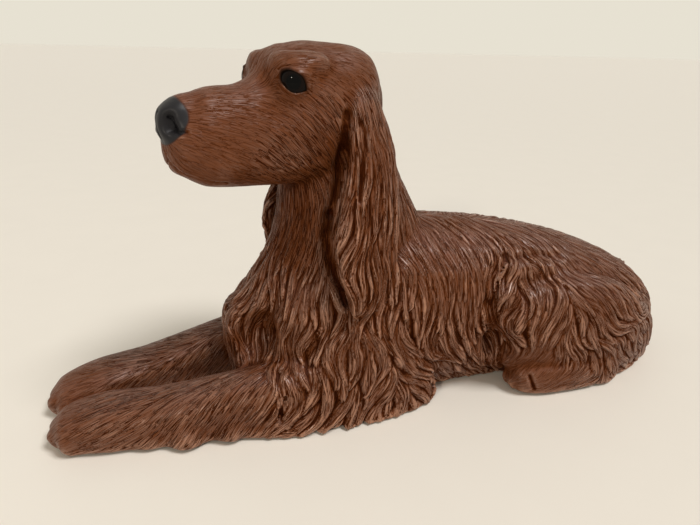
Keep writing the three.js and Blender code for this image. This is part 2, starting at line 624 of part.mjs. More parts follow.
// A piece that is turned about the eye's line of sight, +Y of the piece, and put at the eye
function atEye(geometry, side) {
  const gaze = axisX.clone().applyAxisAngle(axisZ, side * degrees(eyeOutward));
  const turn = new THREE.Quaternion().setFromUnitVectors(axisY, gaze);
  const placed = geometry.applyQuaternion(turn).translate(eyePlace.x, side * eyePlace.y, eyePlace.z);
  return solid(placed, headMatrix);
}
const eyeball = (side, radius) => atEye(new THREE.SphereGeometry(radius, 18, 10), side);

// The oval between the lids, as a plug that runs forward from the eye's centre
function lidOpening(side) {
  const plug = new THREE.CylinderGeometry(0.5, 0.5, 3 * eyeRadius, 24).translate(0, 1.5 * eyeRadius, 0);
  return atEye(plug.scale(lidOpeningLong, 1, lidOpeningHigh), side);
}

// The part of an eyeball between two depths along its line of sight
function eyeSlice(side, from, to) {
  const box = new THREE.BoxGeometry(4 * eyeRadius, to - from, 4 * eyeRadius);
  return eyeball(side, eyeRadius).intersect(atEye(box.translate(0, (from + to) / 2, 0), side));
}
const eyeGlass = (side) => eyeSlice(side, glassBack, eyeRadius + overcut);
const eyeIris = (side) => eyeSlice(side, glassBack - irisGlue - irisThickness, glassBack - irisGlue);

const lidRadius = eyeRadius + eyeSocketClearance + lidThickness;
const faceBody = (side, inset) =>
  solid(browForm(side, inset), headMatrix).add(eyeball(side, lidRadius - inset));
const headBody = (inset) =>
  union([
    solid(skullForm(inset), headMatrix),
    solid(noseForm(inset), headMatrix),
    faceBody(left, inset),
    faceBody(right, inset),
    solid(neckForm(inset)).intersect(aboveNeckJoint(0)),
  ]);

function nostrilHole(side) {
  const hole = new THREE.SphereGeometry(nostril.radius, 12, 8);
  return solid(hole.translate(nostril.x, side * nostril.y, nostril.z), headMatrix);
}

function headCasting() {
  const openings = [left, right].flatMap((side) => [
    eyeball(side, eyeRadius + eyeSocketClearance),
    lidOpening(side),
    nostrilHole(side),
    socket(earPeg, earPegRadius, side, headMatrix),
  ]);
  const whole = headBody(0).add(peg(neckPeg, neckPegRadius, left));
  return largest(openings.reduce((body, opening) => body.subtract(opening), whole));
}

const grownHead = headBody(-bondLine);
function earCasting(side) {
  const draped = solid(earForm(side), headMatrix).subtract(grownHead).subtract(grownTrunk);
  return largest(draped.add(peg(earPeg, earPegRadius, side, false, headMatrix)));
}

function piece(name, body, material) {
  const made = body.getMesh();
  const geometry = new THREE.BufferGeometry();
  geometry.setAttribute("position", new THREE.BufferAttribute(new Float32Array(made.vertProperties), 3));
  geometry.setIndex(new THREE.BufferAttribute(new Uint32Array(made.triVerts), 1));
  geometry.computeVertexNormals();
  const mesh = new THREE.Mesh(geometry, material);
  mesh.name = name;
  return mesh;
}

const figurine = new THREE.Group();
figurine.add(
  piece("trunk_casting", trunkCasting(), coat),
  piece("head_casting", headCasting(), coat),
  piece("tail_casting", tailCasting(), coat),
  piece("base_board", baseBoard(), board),
  piece("base_felt", baseFelt(), felt),
);
for (const [word, side] of Object.entries({ left, right })) {
  figurine.add(
    piece(`${word}_ear_casting`, earCasting(side), coat),
    piece(`${word}_foreleg_casting`, forelegCasting(side), coat),
    piece(`${word}_hindquarter_casting`, hindCasting(side), coat),
    piece(`${word}_eye_glass`, eyeGlass(side), glass),
    piece(`${word}_eye_iris`, eyeIris(side), iris),
  );
}

// The origin goes under the middle of the whole figure.
const reach = new THREE.Box3().setFromObject(figurine);
const middle = reach.getCenter(new THREE.Vector3());
figurine.position.set(-middle.x, -middle.y, -reach.min.z);

export default figurine;
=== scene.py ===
"""Looks of the reclining gundog figurine: a carved coat over its castings, glass eyes and a felted base."""

import itertools
import logging
import math
from dataclasses import astuple, dataclass, field, fields
from enum import Enum, IntEnum

import bmesh
import bpy
import numpy as np
from mathutils import Euler, Matrix, Vector
from mathutils.bvhtree import BVHTree
from mathutils.kdtree import KDTree


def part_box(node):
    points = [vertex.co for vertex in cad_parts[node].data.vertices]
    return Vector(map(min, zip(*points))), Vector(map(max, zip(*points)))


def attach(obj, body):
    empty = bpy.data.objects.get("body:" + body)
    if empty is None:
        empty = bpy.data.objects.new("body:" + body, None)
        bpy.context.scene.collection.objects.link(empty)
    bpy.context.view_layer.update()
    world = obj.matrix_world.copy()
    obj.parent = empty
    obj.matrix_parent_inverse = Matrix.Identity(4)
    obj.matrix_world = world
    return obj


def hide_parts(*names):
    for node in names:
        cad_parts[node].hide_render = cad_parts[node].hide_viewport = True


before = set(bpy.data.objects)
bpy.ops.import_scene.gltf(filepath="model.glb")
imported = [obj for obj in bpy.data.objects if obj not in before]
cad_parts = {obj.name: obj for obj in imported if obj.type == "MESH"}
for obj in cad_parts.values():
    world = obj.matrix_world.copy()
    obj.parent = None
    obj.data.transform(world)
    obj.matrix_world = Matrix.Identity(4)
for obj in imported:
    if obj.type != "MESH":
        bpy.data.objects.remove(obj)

MM = 0.001  # metres in a millimetre
BODY = "root"
SEED = 1871
RIPPLE_RATES = (0.7, 1.4)  # slowest and fastest plain wave, as shares of the typical one
NOISE_MIDDLE = 0.5  # value about which a noise pattern swings
TINY = 1e-6  # least number that anything is divided by
Pair = tuple[float, float]
Triple = tuple[float, float, float]
Colour = tuple[float, float, float, float]

log = logging.getLogger("figurine")


class Form(Enum):
    """A kind of form on the dog, which has its own lie of hair."""

    TRUNK = "trunk"
    HEAD = "head"
    EAR = "ear"
    FORELEG = "foreleg"
    HINDQUARTER = "hindquarter"
    TAIL = "tail"


class Side(Enum):
    """A side of the dog, as the sign of its own Y."""

    LEFT = 1
    RIGHT = -1


class Casting(Enum):
    """The castings that the coat is split into: the node's name, its form and its side."""

    TRUNK = ("trunk_casting", Form.TRUNK, None)
    HEAD = ("head_casting", Form.HEAD, None)
    TAIL = ("tail_casting", Form.TAIL, None)
    LEFT_EAR = ("left_ear_casting", Form.EAR, Side.LEFT)
    RIGHT_EAR = ("right_ear_casting", Form.EAR, Side.RIGHT)
    LEFT_FORELEG = ("left_foreleg_casting", Form.FORELEG, Side.LEFT)
    RIGHT_FORELEG = ("right_foreleg_casting", Form.FORELEG, Side.RIGHT)
    LEFT_HINDQUARTER = ("left_hindquarter_casting", Form.HINDQUARTER, Side.LEFT)
    RIGHT_HINDQUARTER = ("right_hindquarter_casting", Form.HINDQUARTER, Side.RIGHT)

    @property
    def node(self) -> str:
        """The CAD node's name."""
        return self.value[0]

    @property
    def form(self) -> Form:
        """The kind of form."""
        return self.value[1]

    @property
    def sides(self) -> list[Side]:
        """The sides of the dog that this casting lies on."""
        return [self.value[2]] if self.value[2] else list(Side)


@dataclass(frozen=True)
class Placement:
    """A frame of its own in the figure: its place in millimetres and its turn about Z in degrees."""

    place: Triple = (0.0, 0.0, 0.0)
    turn: float = 0.0

    def spin(self, ways: np.ndarray, side: Side = Side.LEFT) -> np.ndarray:
        """Turn directions of this frame into the figure's, mirrored for the right side.

        Args:
            ways: the directions, a row for each.
            side: the dog's side.

        Returns:
            The directions in the figure.
        """
        mirrored = np.asarray(ways, float) * (1, side.value, 1)
        c, s = math.cos(math.radians(self.turn)), math.sin(math.radians(self.turn))
        return mirrored @ np.array([[c, s, 0], [-s, c, 0], [0, 0, 1]])

    def out(self, points: np.ndarray, side: Side = Side.LEFT) -> np.ndarray:
        """Move points of this frame into the figure's."""
        return self.spin(points, side) + self.place

    def into(self, points: np.ndarray) -> np.ndarray:
        """Move points of the figure into this frame."""
        c, s = math.cos(math.radians(self.turn)), math.sin(math.radians(self.turn))
        return (points - self.place) @ np.array([[c, -s, 0], [s, c, 0], [0, 0, 1]])


def middle_plane() -> float:
    """Find the trunk's middle plane, the middle of the felt, as a Y in millimetres."""
    low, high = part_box("base_felt")
    return (low.y + high.y) / 2 / MM


FIGURE = Placement((0.0, middle_plane(), 0.0))
HEAD = Placement((40.0, 2.0 + middle_plane(), 138.0), 20.0)


@dataclass(frozen=True)
class Hair:
    """How the hair of a place is carved, in millimetres and degrees.

    Attributes:
        length: of a lock.
        clump_width: half the width of a clump of locks.
        clump_height: that a clump stands up.
        lock_width: half the width of a lock.
        lock_height: that a lock stands up.
        bend: degrees that the hair swings from side to side.
        strand: how strongly the single strands show; one is plain to see.
    """

    length: float
    clump_width: float
    clump_height: float
    lock_width: float
    lock_height: float
    bend: float
    strand: float


class Column(IntEnum):
    """The columns of a table of hair, in the order of the hair's sizes."""

    LENGTH = 0
    CLUMP_WIDTH = 1
    CLUMP_HEIGHT = 2
    LOCK_WIDTH = 3
    LOCK_HEIGHT = 4
    BEND = 5
    STRAND = 6


class Coat(Enum):
    """The kinds of hair on the figure."""

    FACE = Hair(13, 2.0, 0.0, 1.3, 0.05, 0, 0.4)
    SHORT = Hair(26, 2.0, 0.0, 1.4, 0.12, 3, 1.2)
    SLEEK = Hair(34, 3.0, 0.6, 1.2, 0.4, 8, 0.8)
    LONG = Hair(48, 4.0, 2.4, 1.1, 0.5, 17, 1)
    WAVY = Hair(40, 4.6, 2.4, 1.1, 0.5, 22, 1)
    FEATHER = Hair(46, 5.4, 3.2, 1.15, 0.55, 30, 1)
    BUSHY = Hair(42, 5.6, 3.2, 1.15, 0.5, 26, 1)


@dataclass(frozen=True)
class Guide:
    """A place on the dog's left side, which way its hair lies there and what hair it is."""

    at: Triple
    way: Triple
    coat: Coat


GUIDES: dict[Form, list[Guide]] = {
    Form.TRUNK: [
        Guide((8, 6, 98), (-0.4, 0.4, -1), Coat.SLEEK),
        Guide((-30, 5, 88), (-0.25, 0.9, -0.3), Coat.SLEEK),
        Guide((-80, 5, 78), (-0.5, 0.8, -0.35), Coat.SLEEK),
        Guide((-130, 5, 58), (-0.9, 0.35, -0.4), Coat.SLEEK),
        Guide((-5, 38, 70), (-0.15, 0.3, -1), Coat.SLEEK),
        Guide((-22, 40, 60), (-0.1, 0.2, -1), Coat.SLEEK),
        Guide((-44, 35, 66), (0.2, 0.3, -1), Coat.WAVY),
        Guide((-42, 40, 50), (0.0, 0.2, -1), Coat.FEATHER),
        Guide((-60, 38, 64), (-0.5, 0.4, -0.8), Coat.WAVY),
        Guide((-100, 36, 55), (-0.6, 0.3, -0.8), Coat.SLEEK),
        Guide((-140, 28, 40), (-0.75, 0.2, -0.7), Coat.WAVY),
        Guide((-20, 42, 35), (-0.35, 0.25, -1), Coat.WAVY),
        Guide((-40, 42, 22), (-0.5, 0.2, -0.9), Coat.WAVY),
        Guide((-25, 44, 12), (-0.6, 0.3, -0.7), Coat.FEATHER),
        Guide((40, 24, 108), (0.1, 0.15, -1), Coat.SHORT),
        Guide((58, 18, 104), (0.3, 0.1, -1), Coat.SHORT),
        Guide((62, 22, 85), (0.45, 0.15, -1), Coat.SHORT),
        Guide((66, 0, 98), (0.25, 0, -1), Coat.SHORT),
        Guide((20, 22, 105), (-0.15, 0.15, -1), Coat.SLEEK),
        Guide((48, 25, 88), (0.15, 0.15, -1), Coat.SHORT),
        Guide((66, 28, 58), (0.35, 0.2, -1), Coat.SLEEK),
        Guide((78, 8, 66), (0.5, 0.1, -0.9), Coat.WAVY),
        Guide((70, 28, 58), (0.45, 0.2, -1), Coat.WAVY),
        Guide((88, 5, 40), (0.2, 0.05, -1), Coat.FEATHER),
        Guide((80, 26, 34), (0.35, 0.15, -0.9), Coat.WAVY),
        Guide((90, 0, 20), (0.1, 0.1, -1), Coat.FEATHER),
        Guide((30, 40, 70), (0.05, 0.25, -1), Coat.WAVY),
        Guide((45, 44, 50), (0.15, 0.2, -1), Coat.FEATHER),
        Guide((20, 44, 50), (-0.2, 0.2, -1), Coat.FEATHER),
        Guide((5, 46, 35), (-0.5, 0.2, -0.9), Coat.FEATHER),
        Guide((55, 46, 25), (0.2, 0.25, -1), Coat.FEATHER),
        Guide((25, 48, 20), (-0.1, 0.25, -1), Coat.FEATHER),
        Guide((-5, 47, 15), (-0.6, 0.3, -0.8), Coat.FEATHER),
        Guide((72, 46, 12), (0.1, 0.25, -1), Coat.FEATHER),
        Guide((65, 48, 10), (0.1, 0.3, -1), Coat.FEATHER),
        Guide((86, 43, 8), (0.55, 0.25, -0.8), Coat.SHORT),
        Guide((30, 50, 8), (-0.1, 0.3, -1), Coat.FEATHER),
    ],
    Form.HEAD: [
        Guide((0, 6, 31), (-1, 0.1, -0.05), Coat.FACE),
        Guide((20, 4, 31), (-1, 0.05, 0.1), Coat.FACE),
        Guide((-15, 10, 26), (-0.8, 0.3, -0.5), Coat.FACE),
        Guide((26, 14, 26), (-0.8, 0.5, 0.2), Coat.FACE),
        Guide((38, 4, 20), (-0.8, 0, 0.6), Coat.FACE),
        Guide((55, 4, 13), (-1, 0.1, 0.05), Coat.FACE),
        Guide((55, 14, 0), (-0.9, 0.15, -0.25), Coat.FACE),
        Guide((60, 12, -14), (-0.8, 0.15, -0.5), Coat.FACE),
        Guide((25, 22, 0), (-0.65, 0.2, -0.75), Coat.SHORT),
        Guide((10, 23, 5), (-0.5, 0.1, -0.85), Coat.SHORT),
        Guide((35, 18, -12), (-0.75, 0.15, -0.65), Coat.SHORT),
        Guide((34, 16, 8), (-0.8, 0.2, -0.4), Coat.FACE),
        Guide((5, 23, 14), (-0.8, 0.1, -0.45), Coat.FACE),
        Guide((20, 18, -20), (-0.6, 0.2, -0.8), Coat.SHORT),
        Guide((60, 6, -24), (-0.8, 0.1, -0.3), Coat.FACE),
        Guide((-24, 6, 5), (-0.2, 0.2, -1), Coat.SHORT),
        Guide((15, 6, -30), (-0.1, 0, -1), Coat.SHORT),
        Guide((5, 22, -25), (0.1, 0.15, -1), Coat.SHORT),
    ],
    Form.EAR: [
        Guide((-2, 25, 8), (-0.1, 0.3, -1), Coat.SHORT),
        Guide((-4, 29, -15), (-0.1, 0.15, -1), Coat.SLEEK),
        Guide((8, 30, -30), (0.25, 0.1, -1), Coat.LONG),
        Guide((-12, 30, -35), (-0.25, 0.1, -1), Coat.LONG),
        Guide((0, 34, -52), (0.1, 0.1, -1), Coat.LONG),
        Guide((16, 36, -50), (0.35, 0.05, -1), Coat.LONG),
        Guide((-10, 35, -60), (0.1, 0.1, -1), Coat.LONG),
        Guide((10, 40, -75), (0.1, 0, -1), Coat.LONG),
    ],
    Form.FORELEG: [
        Guide((70, 44, 24), (-0.1, 0.2, -1), Coat.FEATHER),
        Guide((66, 34, 34), (0.1, 0.3, -0.8), Coat.WAVY),
        Guide((84, 41, 25), (0.65, 0.25, -0.75), Coat.SHORT),
        Guide((90, 24, 30), (0.85, 0.2, -0.45), Coat.SHORT),
        Guide((97, 42, 11), (0.6, 0.25, -0.8), Coat.SHORT),
        Guide((115, 30, 22), (0.8, 0.2, -0.6), Coat.SHORT),
        Guide((115, 40, 8), (0.65, 0.2, -0.75), Coat.SHORT),
        Guide((140, 22, 18), (0.9, 0.1, -0.4), Coat.SHORT),
        Guide((165, 15, 10), (0.9, 0, -0.4), Coat.FACE),
        Guide((100, 12, 15), (0.7, -0.1, -0.75), Coat.SHORT),
    ],
    Form.HINDQUARTER: [
        Guide((-46, 46, 42), (0.0, 0.25, -1), Coat.FEATHER),
        Guide((-50, 48, 34), (-0.15, 0.2, -1), Coat.FEATHER),
        Guide((-66, 48, 52), (-0.35, 0.5, -0.8), Coat.FEATHER),
        Guide((-90, 46, 56), (-0.75, 0.5, -0.5), Coat.SLEEK),
        Guide((-85, 56, 38), (-0.6, 0.25, -0.8), Coat.FEATHER),
        Guide((-110, 54, 40), (-0.75, 0.2, -0.65), Coat.BUSHY),
        Guide((-140, 44, 32), (-0.85, 0, -0.5), Coat.BUSHY),
        Guide((-76, 57, 24), (-0.5, 0.2, -0.85), Coat.FEATHER),
        Guide((-100, 56, 16), (-0.65, 0.15, -0.75), Coat.BUSHY),
        Guide((-125, 52, 14), (-0.75, 0.15, -0.65), Coat.BUSHY),
        Guide((-50, 46, 11), (0.9, 0.1, -0.3), Coat.FACE),
        Guide((-49, 47, 20), (0.5, 0.1, -0.7), Coat.FACE),
        Guide((-58, 52, 10), (0.9, 0.1, -0.3), Coat.FACE),
        Guide((-58, 53, 20), (0.5, 0.1, -0.7), Coat.FACE),
        Guide((-66, 55, 14), (0.7, 0.1, -0.5), Coat.FACE),
        Guide((-74, 55, 7), (0.9, 0, -0.3), Coat.FACE),
        Guide((-84, 56, 6), (0.8, 0, -0.3), Coat.SHORT),
    ],
    Form.TAIL: [
        Guide((-122, 0, 52), (-1, 0.1, 0), Coat.SLEEK),
        Guide((-160, 8, 40), (-0.75, 0.4, -0.7), Coat.WAVY),
        Guide((-168, 23, 22), (-0.2, 0.8, -0.6), Coat.WAVY),
        Guide((-157, 41, 14), (0.5, 0.8, -0.3), Coat.FEATHER),
        Guide((-132, 53, 12), (0.9, 0.4, -0.2), Coat.FEATHER),
        Guide((-105, 57, 8), (1, 0, -0.2), Coat.WAVY),
    ],
}
FORM_FRAME = {Form.HEAD: HEAD, Form.EAR: HEAD}
TAIL_SIDE = Side.RIGHT


def smooth_step(low: float, high: float, values: np.ndarray) -> np.ndarray:
    """Rise smoothly from 0 at low to 1 at high."""
    t = np.clip((values - low) / (high - low), 0, 1)
    return t * t * (3 - 2 * t)


def ripples(points: np.ndarray, length: float, seed: int, count: int = 7) -> np.ndarray:
    """Lay a smooth irregular pattern over points.

    Args:
        points: places in millimetres.
        length: typical distance between crests in millimetres.
        seed: which pattern.
        count: how many plain waves make it up.

    Returns:
        Values mostly between -1 and 1.
    """
    rng = np.random.default_rng(seed)
    ways = unit(rng.normal(size=(count, 3)))
    ways = ways * rng.uniform(*RIPPLE_RATES, (count, 1)) * 2 * math.pi / length
    shifts = rng.uniform(0, 2 * math.pi, count)
    return np.sin(points @ ways.T + shifts).sum(1) / math.sqrt(count)


def bell(values: np.ndarray, middle: float, breadth: float, height: float) -> np.ndarray:
    """Rise to a height at the middle and fall off on both sides."""
    return height * np.exp(-(((values - middle) / breadth) ** 2))


def unit(ways: np.ndarray) -> np.ndarray:
    """Scale directions to a length of one."""
    return ways / np.maximum(np.linalg.norm(ways, axis=-1, keepdims=True), TINY)


def dot(a: np.ndarray, b: np.ndarray) -> np.ndarray:
    """Multiply directions pair by pair into plain numbers."""
    return np.einsum("...i,...i->...", a, b)


def nearest_tree(points: np.ndarray) -> KDTree:
    """Make a tree that finds the nearest of the points.

    Args:
        points: places in millimetres, a row for each.

    Returns:
        The tree, which gives the points' numbers.
    """
    tree = KDTree(len(points))
    for i, point in enumerate(points.tolist()):
        tree.insert(point, i)
    tree.balance()
    return tree


@dataclass(frozen=True)
class Touch:
    """A soft push of the form at one place and at its mirror place, in millimetres.

    Attributes:
        at: the middle of the push.
        push: how far it moves.
        reach: radius in which it fades out.
        form: the only form that it moves, if there is one.
        own: the frame that the place and the push are in.
    """

    at: Triple
    push: Triple
    reach: float
    form: Form | None = None
    own: Placement = FIGURE

    def move(self, points: np.ndarray, owners: np.ndarray) -> np.ndarray:
        """Work out how far the touch moves each point.

        Args:
            points: places in millimetres.
            owners: the number of each point's casting.

        Returns:
            The points' moves.
        """
        moves = np.zeros_like(points)
        allowed = [self.form is None or casting.form is self.form for casting in Casting]
        free = np.array(allowed)[owners]
        for side in Side:
            away = np.linalg.norm(points - self.own.out(np.array(self.at), side), axis=1) / self.reach
            fade = np.where(free & (away < 1), (1 - np.minimum(away, 1) ** 2) ** 2, 0)
            moves += fade[:, None] * self.own.spin(np.array(self.push), side)
        return moves


@dataclass(frozen=True)
class Stroke:
    """A soft stroke along a line and along its mirror line, in millimetres.

    Attributes:
        line: the points that it runs through.
        width: distance at which it fades out, about half its breadth.
        strength: at its middle; a groove's depth, or how far a stroke of painted shade darkens.
        own: the frame that the line is in.
    """

    line: tuple[Triple, ...]
    width: float
    strength: float
    own: Placement = HEAD

    def over(self, points: np.ndarray) -> np.ndarray:
        """Work out how strong the stroke is at each point.

        Args:
            points: places in millimetres.

        Returns:
            The stroke's strength at the points.
        """
        total = np.zeros(len(points))
        for side in Side:
            line = self.own.out(np.array(self.line, float), side)
            nearest = np.full(len(points), np.inf)
            for start, stop in zip(line[:-1], line[1:]):
                run = stop - start
                share = np.clip((points - start) @ run / (run @ run), 0, 1)
                away = np.linalg.norm(points - start - share[:, None] * run, axis=1)
                nearest = np.minimum(nearest, away)
            total = np.maximum(total, np.exp(-((nearest / self.width) ** 2)))
        return self.strength * total


@dataclass
class Skin:
    """The figure's whole outer surface, from which the coat is carved.

    Attributes:
        voxel: the remesh's step in millimetres, halved once all over and once more on the head.
        relax: rounds of smoothing that close the bond lines.
        relax_share: how far a point goes towards its neighbours' middle in a round.
        underside: height of the castings' flat underside in millimetres.
        eye_middle: middle of the finer places round the eyes, seen from the head's side.
        eye_reach: half the length and height of these places.
        nose_back: X in the head's frame in front of which the muzzle is finer.
        chin: Z in the head's frame above which it is finer.
        mesh: the surface, once it is built.
    """

    voxel: float = 1.2
    relax: int = 5
    relax_share: float = 0.5
    underside: float = 1.2
    eye_middle: Triple = (28.0, 0.0, 16.0)
    eye_reach: Triple = (9.0, 1.0, 8.0)
    nose_back: float = 62.0
    chin: float = -24.0
    mesh: bpy.types.Mesh = field(init=False)

    def build(self, eyes: "EyePair", touches: list[Touch]) -> None:
        """Join the castings, the board and the eyeballs into one fine surface.

        Args:
            eyes: the eyes, whose balls fill their sockets.
            touches: pushes that bring out the forms before the hair is carved.
        """
        self.mesh = self._remeshed(self._joined_mesh(eyes), False)
        self._read()
        self.owners = self._nearest_castings(self.points)
        shaped = self.points + sum(touch.move(self.points, self.owners) for touch in touches)
        owners, places = self.owners, nearest_tree(shaped)
        self.points = shaped
        self.refresh()
        self.mesh = self._remeshed(self.mesh, True)
        self._halve_face()
        self._read()
        self.owners = owners[[places.find(point)[1] for point in self.points.tolist()]]
        log.info("skin: %d points", len(self.points))

    def _remeshed(self, mesh: bpy.types.Mesh, fine: bool) -> bpy.types.Mesh:
        """Lay an even net over a mesh.

        Args:
            mesh: the mesh to cover.
            fine: whether the net is smoothed and halved.

        Returns:
            The net.
        """
        work = bpy.data.objects.new("skin", mesh)
        bpy.context.scene.collection.objects.link(work)
        remesh = work.modifiers.new("remesh", "REMESH")
        remesh.mode = "VOXEL"
        remesh.voxel_size = self.voxel * MM
        if fine:
            relax = work.modifiers.new("relax", "SMOOTH")
            relax.factor = self.relax_share
            relax.iterations = self.relax
            work.modifiers.new("halve", "SUBSURF").levels = 1
        evaluated = work.evaluated_get(bpy.context.evaluated_depsgraph_get())
        made = bpy.data.meshes.new_from_object(evaluated)
        bpy.data.objects.remove(work)
        return made

    def _joined_mesh(self, eyes: "EyePair") -> bpy.types.Mesh:
        """Gather the CAD surfaces and the eyeballs in one mesh.

        Args:
            eyes: the eyes, whose balls fill their sockets.

        Returns:
            The mesh, in metres.
        """
        names = [casting.node for casting in Casting] + ["base_board"]
        corners, faces = [], []
        sources = [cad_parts[name].data for name in names] + eyes.ball_meshes()
        for source in sources:
            start = len(corners)
            corners += [tuple(v.co) for v in source.vertices]
            faces += [[start + i for i in polygon.vertices] for polygon in source.polygons]
        mesh = bpy.data.meshes.new("skin")
        mesh.from_pydata(corners, [], faces)
        return mesh

    def _halve_face(self) -> None:
        """Halve the faces round the eyes, the nose and the mouth once more."""
        work = bmesh.new()
        work.from_mesh(self.mesh)
        local = HEAD.into(np.array([f.calc_center_median() for f in work.faces]) / MM)
        eyes = np.linalg.norm((local * (1, 0, 1) - self.eye_middle) / self.eye_reach, axis=1) < 1
        nose = (local[:, 0] > self.nose_back) & (local[:, 2] > self.chin)
        work.faces.ensure_lookup_table()
        edges = {e for i in np.nonzero(eyes | nose)[0] for e in work.faces[i].edges}
        bmesh.ops.subdivide_edges(work, edges=list(edges), cuts=1, use_grid_fill=True)
        work.to_mesh(self.mesh)
        work.free()

    def _read(self) -> None:
        """Read the mesh into arrays, with each point's neighbours in one run."""
        mesh = self.mesh
        self.points = np.empty(len(mesh.vertices) * 3)
        mesh.vertices.foreach_get("co", self.points)
        self.points = self.points.reshape(-1, 3) / MM
        pairs = np.empty(len(mesh.edges) * 2, np.int32)
        mesh.edges.foreach_get("vertices", pairs)
        pairs = pairs.reshape(-1, 2)
        ends = np.concatenate([pairs[:, 0], pairs[:, 1]])
        others = np.concatenate([pairs[:, 1], pairs[:, 0]])
        order = np.argsort(ends, kind="stable")
        self.neighbours = others[order]
        self.counts = np.bincount(ends, minlength=len(self.points))
        self.starts = np.concatenate([[0], np.cumsum(self.counts)[:-1]])
        self.corner_points = np.empty(len(mesh.loops), np.int32)
        mesh.loops.foreach_get("vertex_index", self.corner_points)
        self.face_starts = np.empty(len(mesh.polygons), np.int32)
        mesh.polygons.foreach_get("loop_start", self.face_starts)
        self.face_sizes = np.diff(np.append(self.face_starts, len(self.corner_points)))
        self.corner_faces = np.repeat(np.arange(len(self.face_starts)), self.face_sizes)
        areas = np.empty(len(mesh.polygons))
        mesh.polygons.foreach_get("area", areas)
        shares = (areas / self.face_sizes / MM**2)[self.corner_faces]
        self.areas = np.bincount(self.corner_points, shares, len(self.points))
        self.refresh()

    def refresh(self) -> None:
        """Write the points back to the mesh and read the normals again."""
        self.mesh.vertices.foreach_set("co", (self.points * MM).ravel())
        self.mesh.update()
        self.normals = np.empty(len(self.points) * 3)
        self.mesh.vertex_normals.foreach_get("vector", self.normals)
        self.normals = self.normals.reshape(-1, 3)

    def _nearest_castings(self, points: np.ndarray) -> np.ndarray:
        """Find the casting that each point belongs to.

        Args:
            points: places in millimetres.

        Returns:
            The number of the nearest casting for each point.
        """
        corners, faces, owners = [], [], []
        for number, casting in enumerate(Casting):
            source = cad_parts[casting.node].data
            start = len(corners)
            corners += [tuple(v.co) for v in source.vertices]
            faces += [[start + i for i in polygon.vertices] for polygon in source.polygons]
            owners += [number] * len(source.polygons)
        tree = BVHTree.FromPolygons(corners, faces)
        found = [tree.find_nearest(point)[2] for point in (points * MM).tolist()]
        return np.array(owners)[found]

    def spread(self, values: np.ndarray, rounds: int) -> np.ndarray:
        """Average values with their neighbours' values.

        Args:
            values: one row for each point.
            rounds: how often to average.

        Returns:
            The smoothed values.
        """
        counts = self.counts if values.ndim == 1 else self.counts[:, None]
        for _ in range(rounds):
            around = np.add.reduceat(values[self.neighbours], self.starts, axis=0) / counts
            values = (values + around) / 2
        return values

    def push(self, heights: np.ndarray) -> None:
        """Move the points along their normals, and keep the underside flat.

        Args:
            heights: millimetres for each point.
        """
        self.points = self.points + self.normals * heights[:, None]
        self.points[:, 2] = np.maximum(self.points[:, 2], self.underside)
        self.refresh()


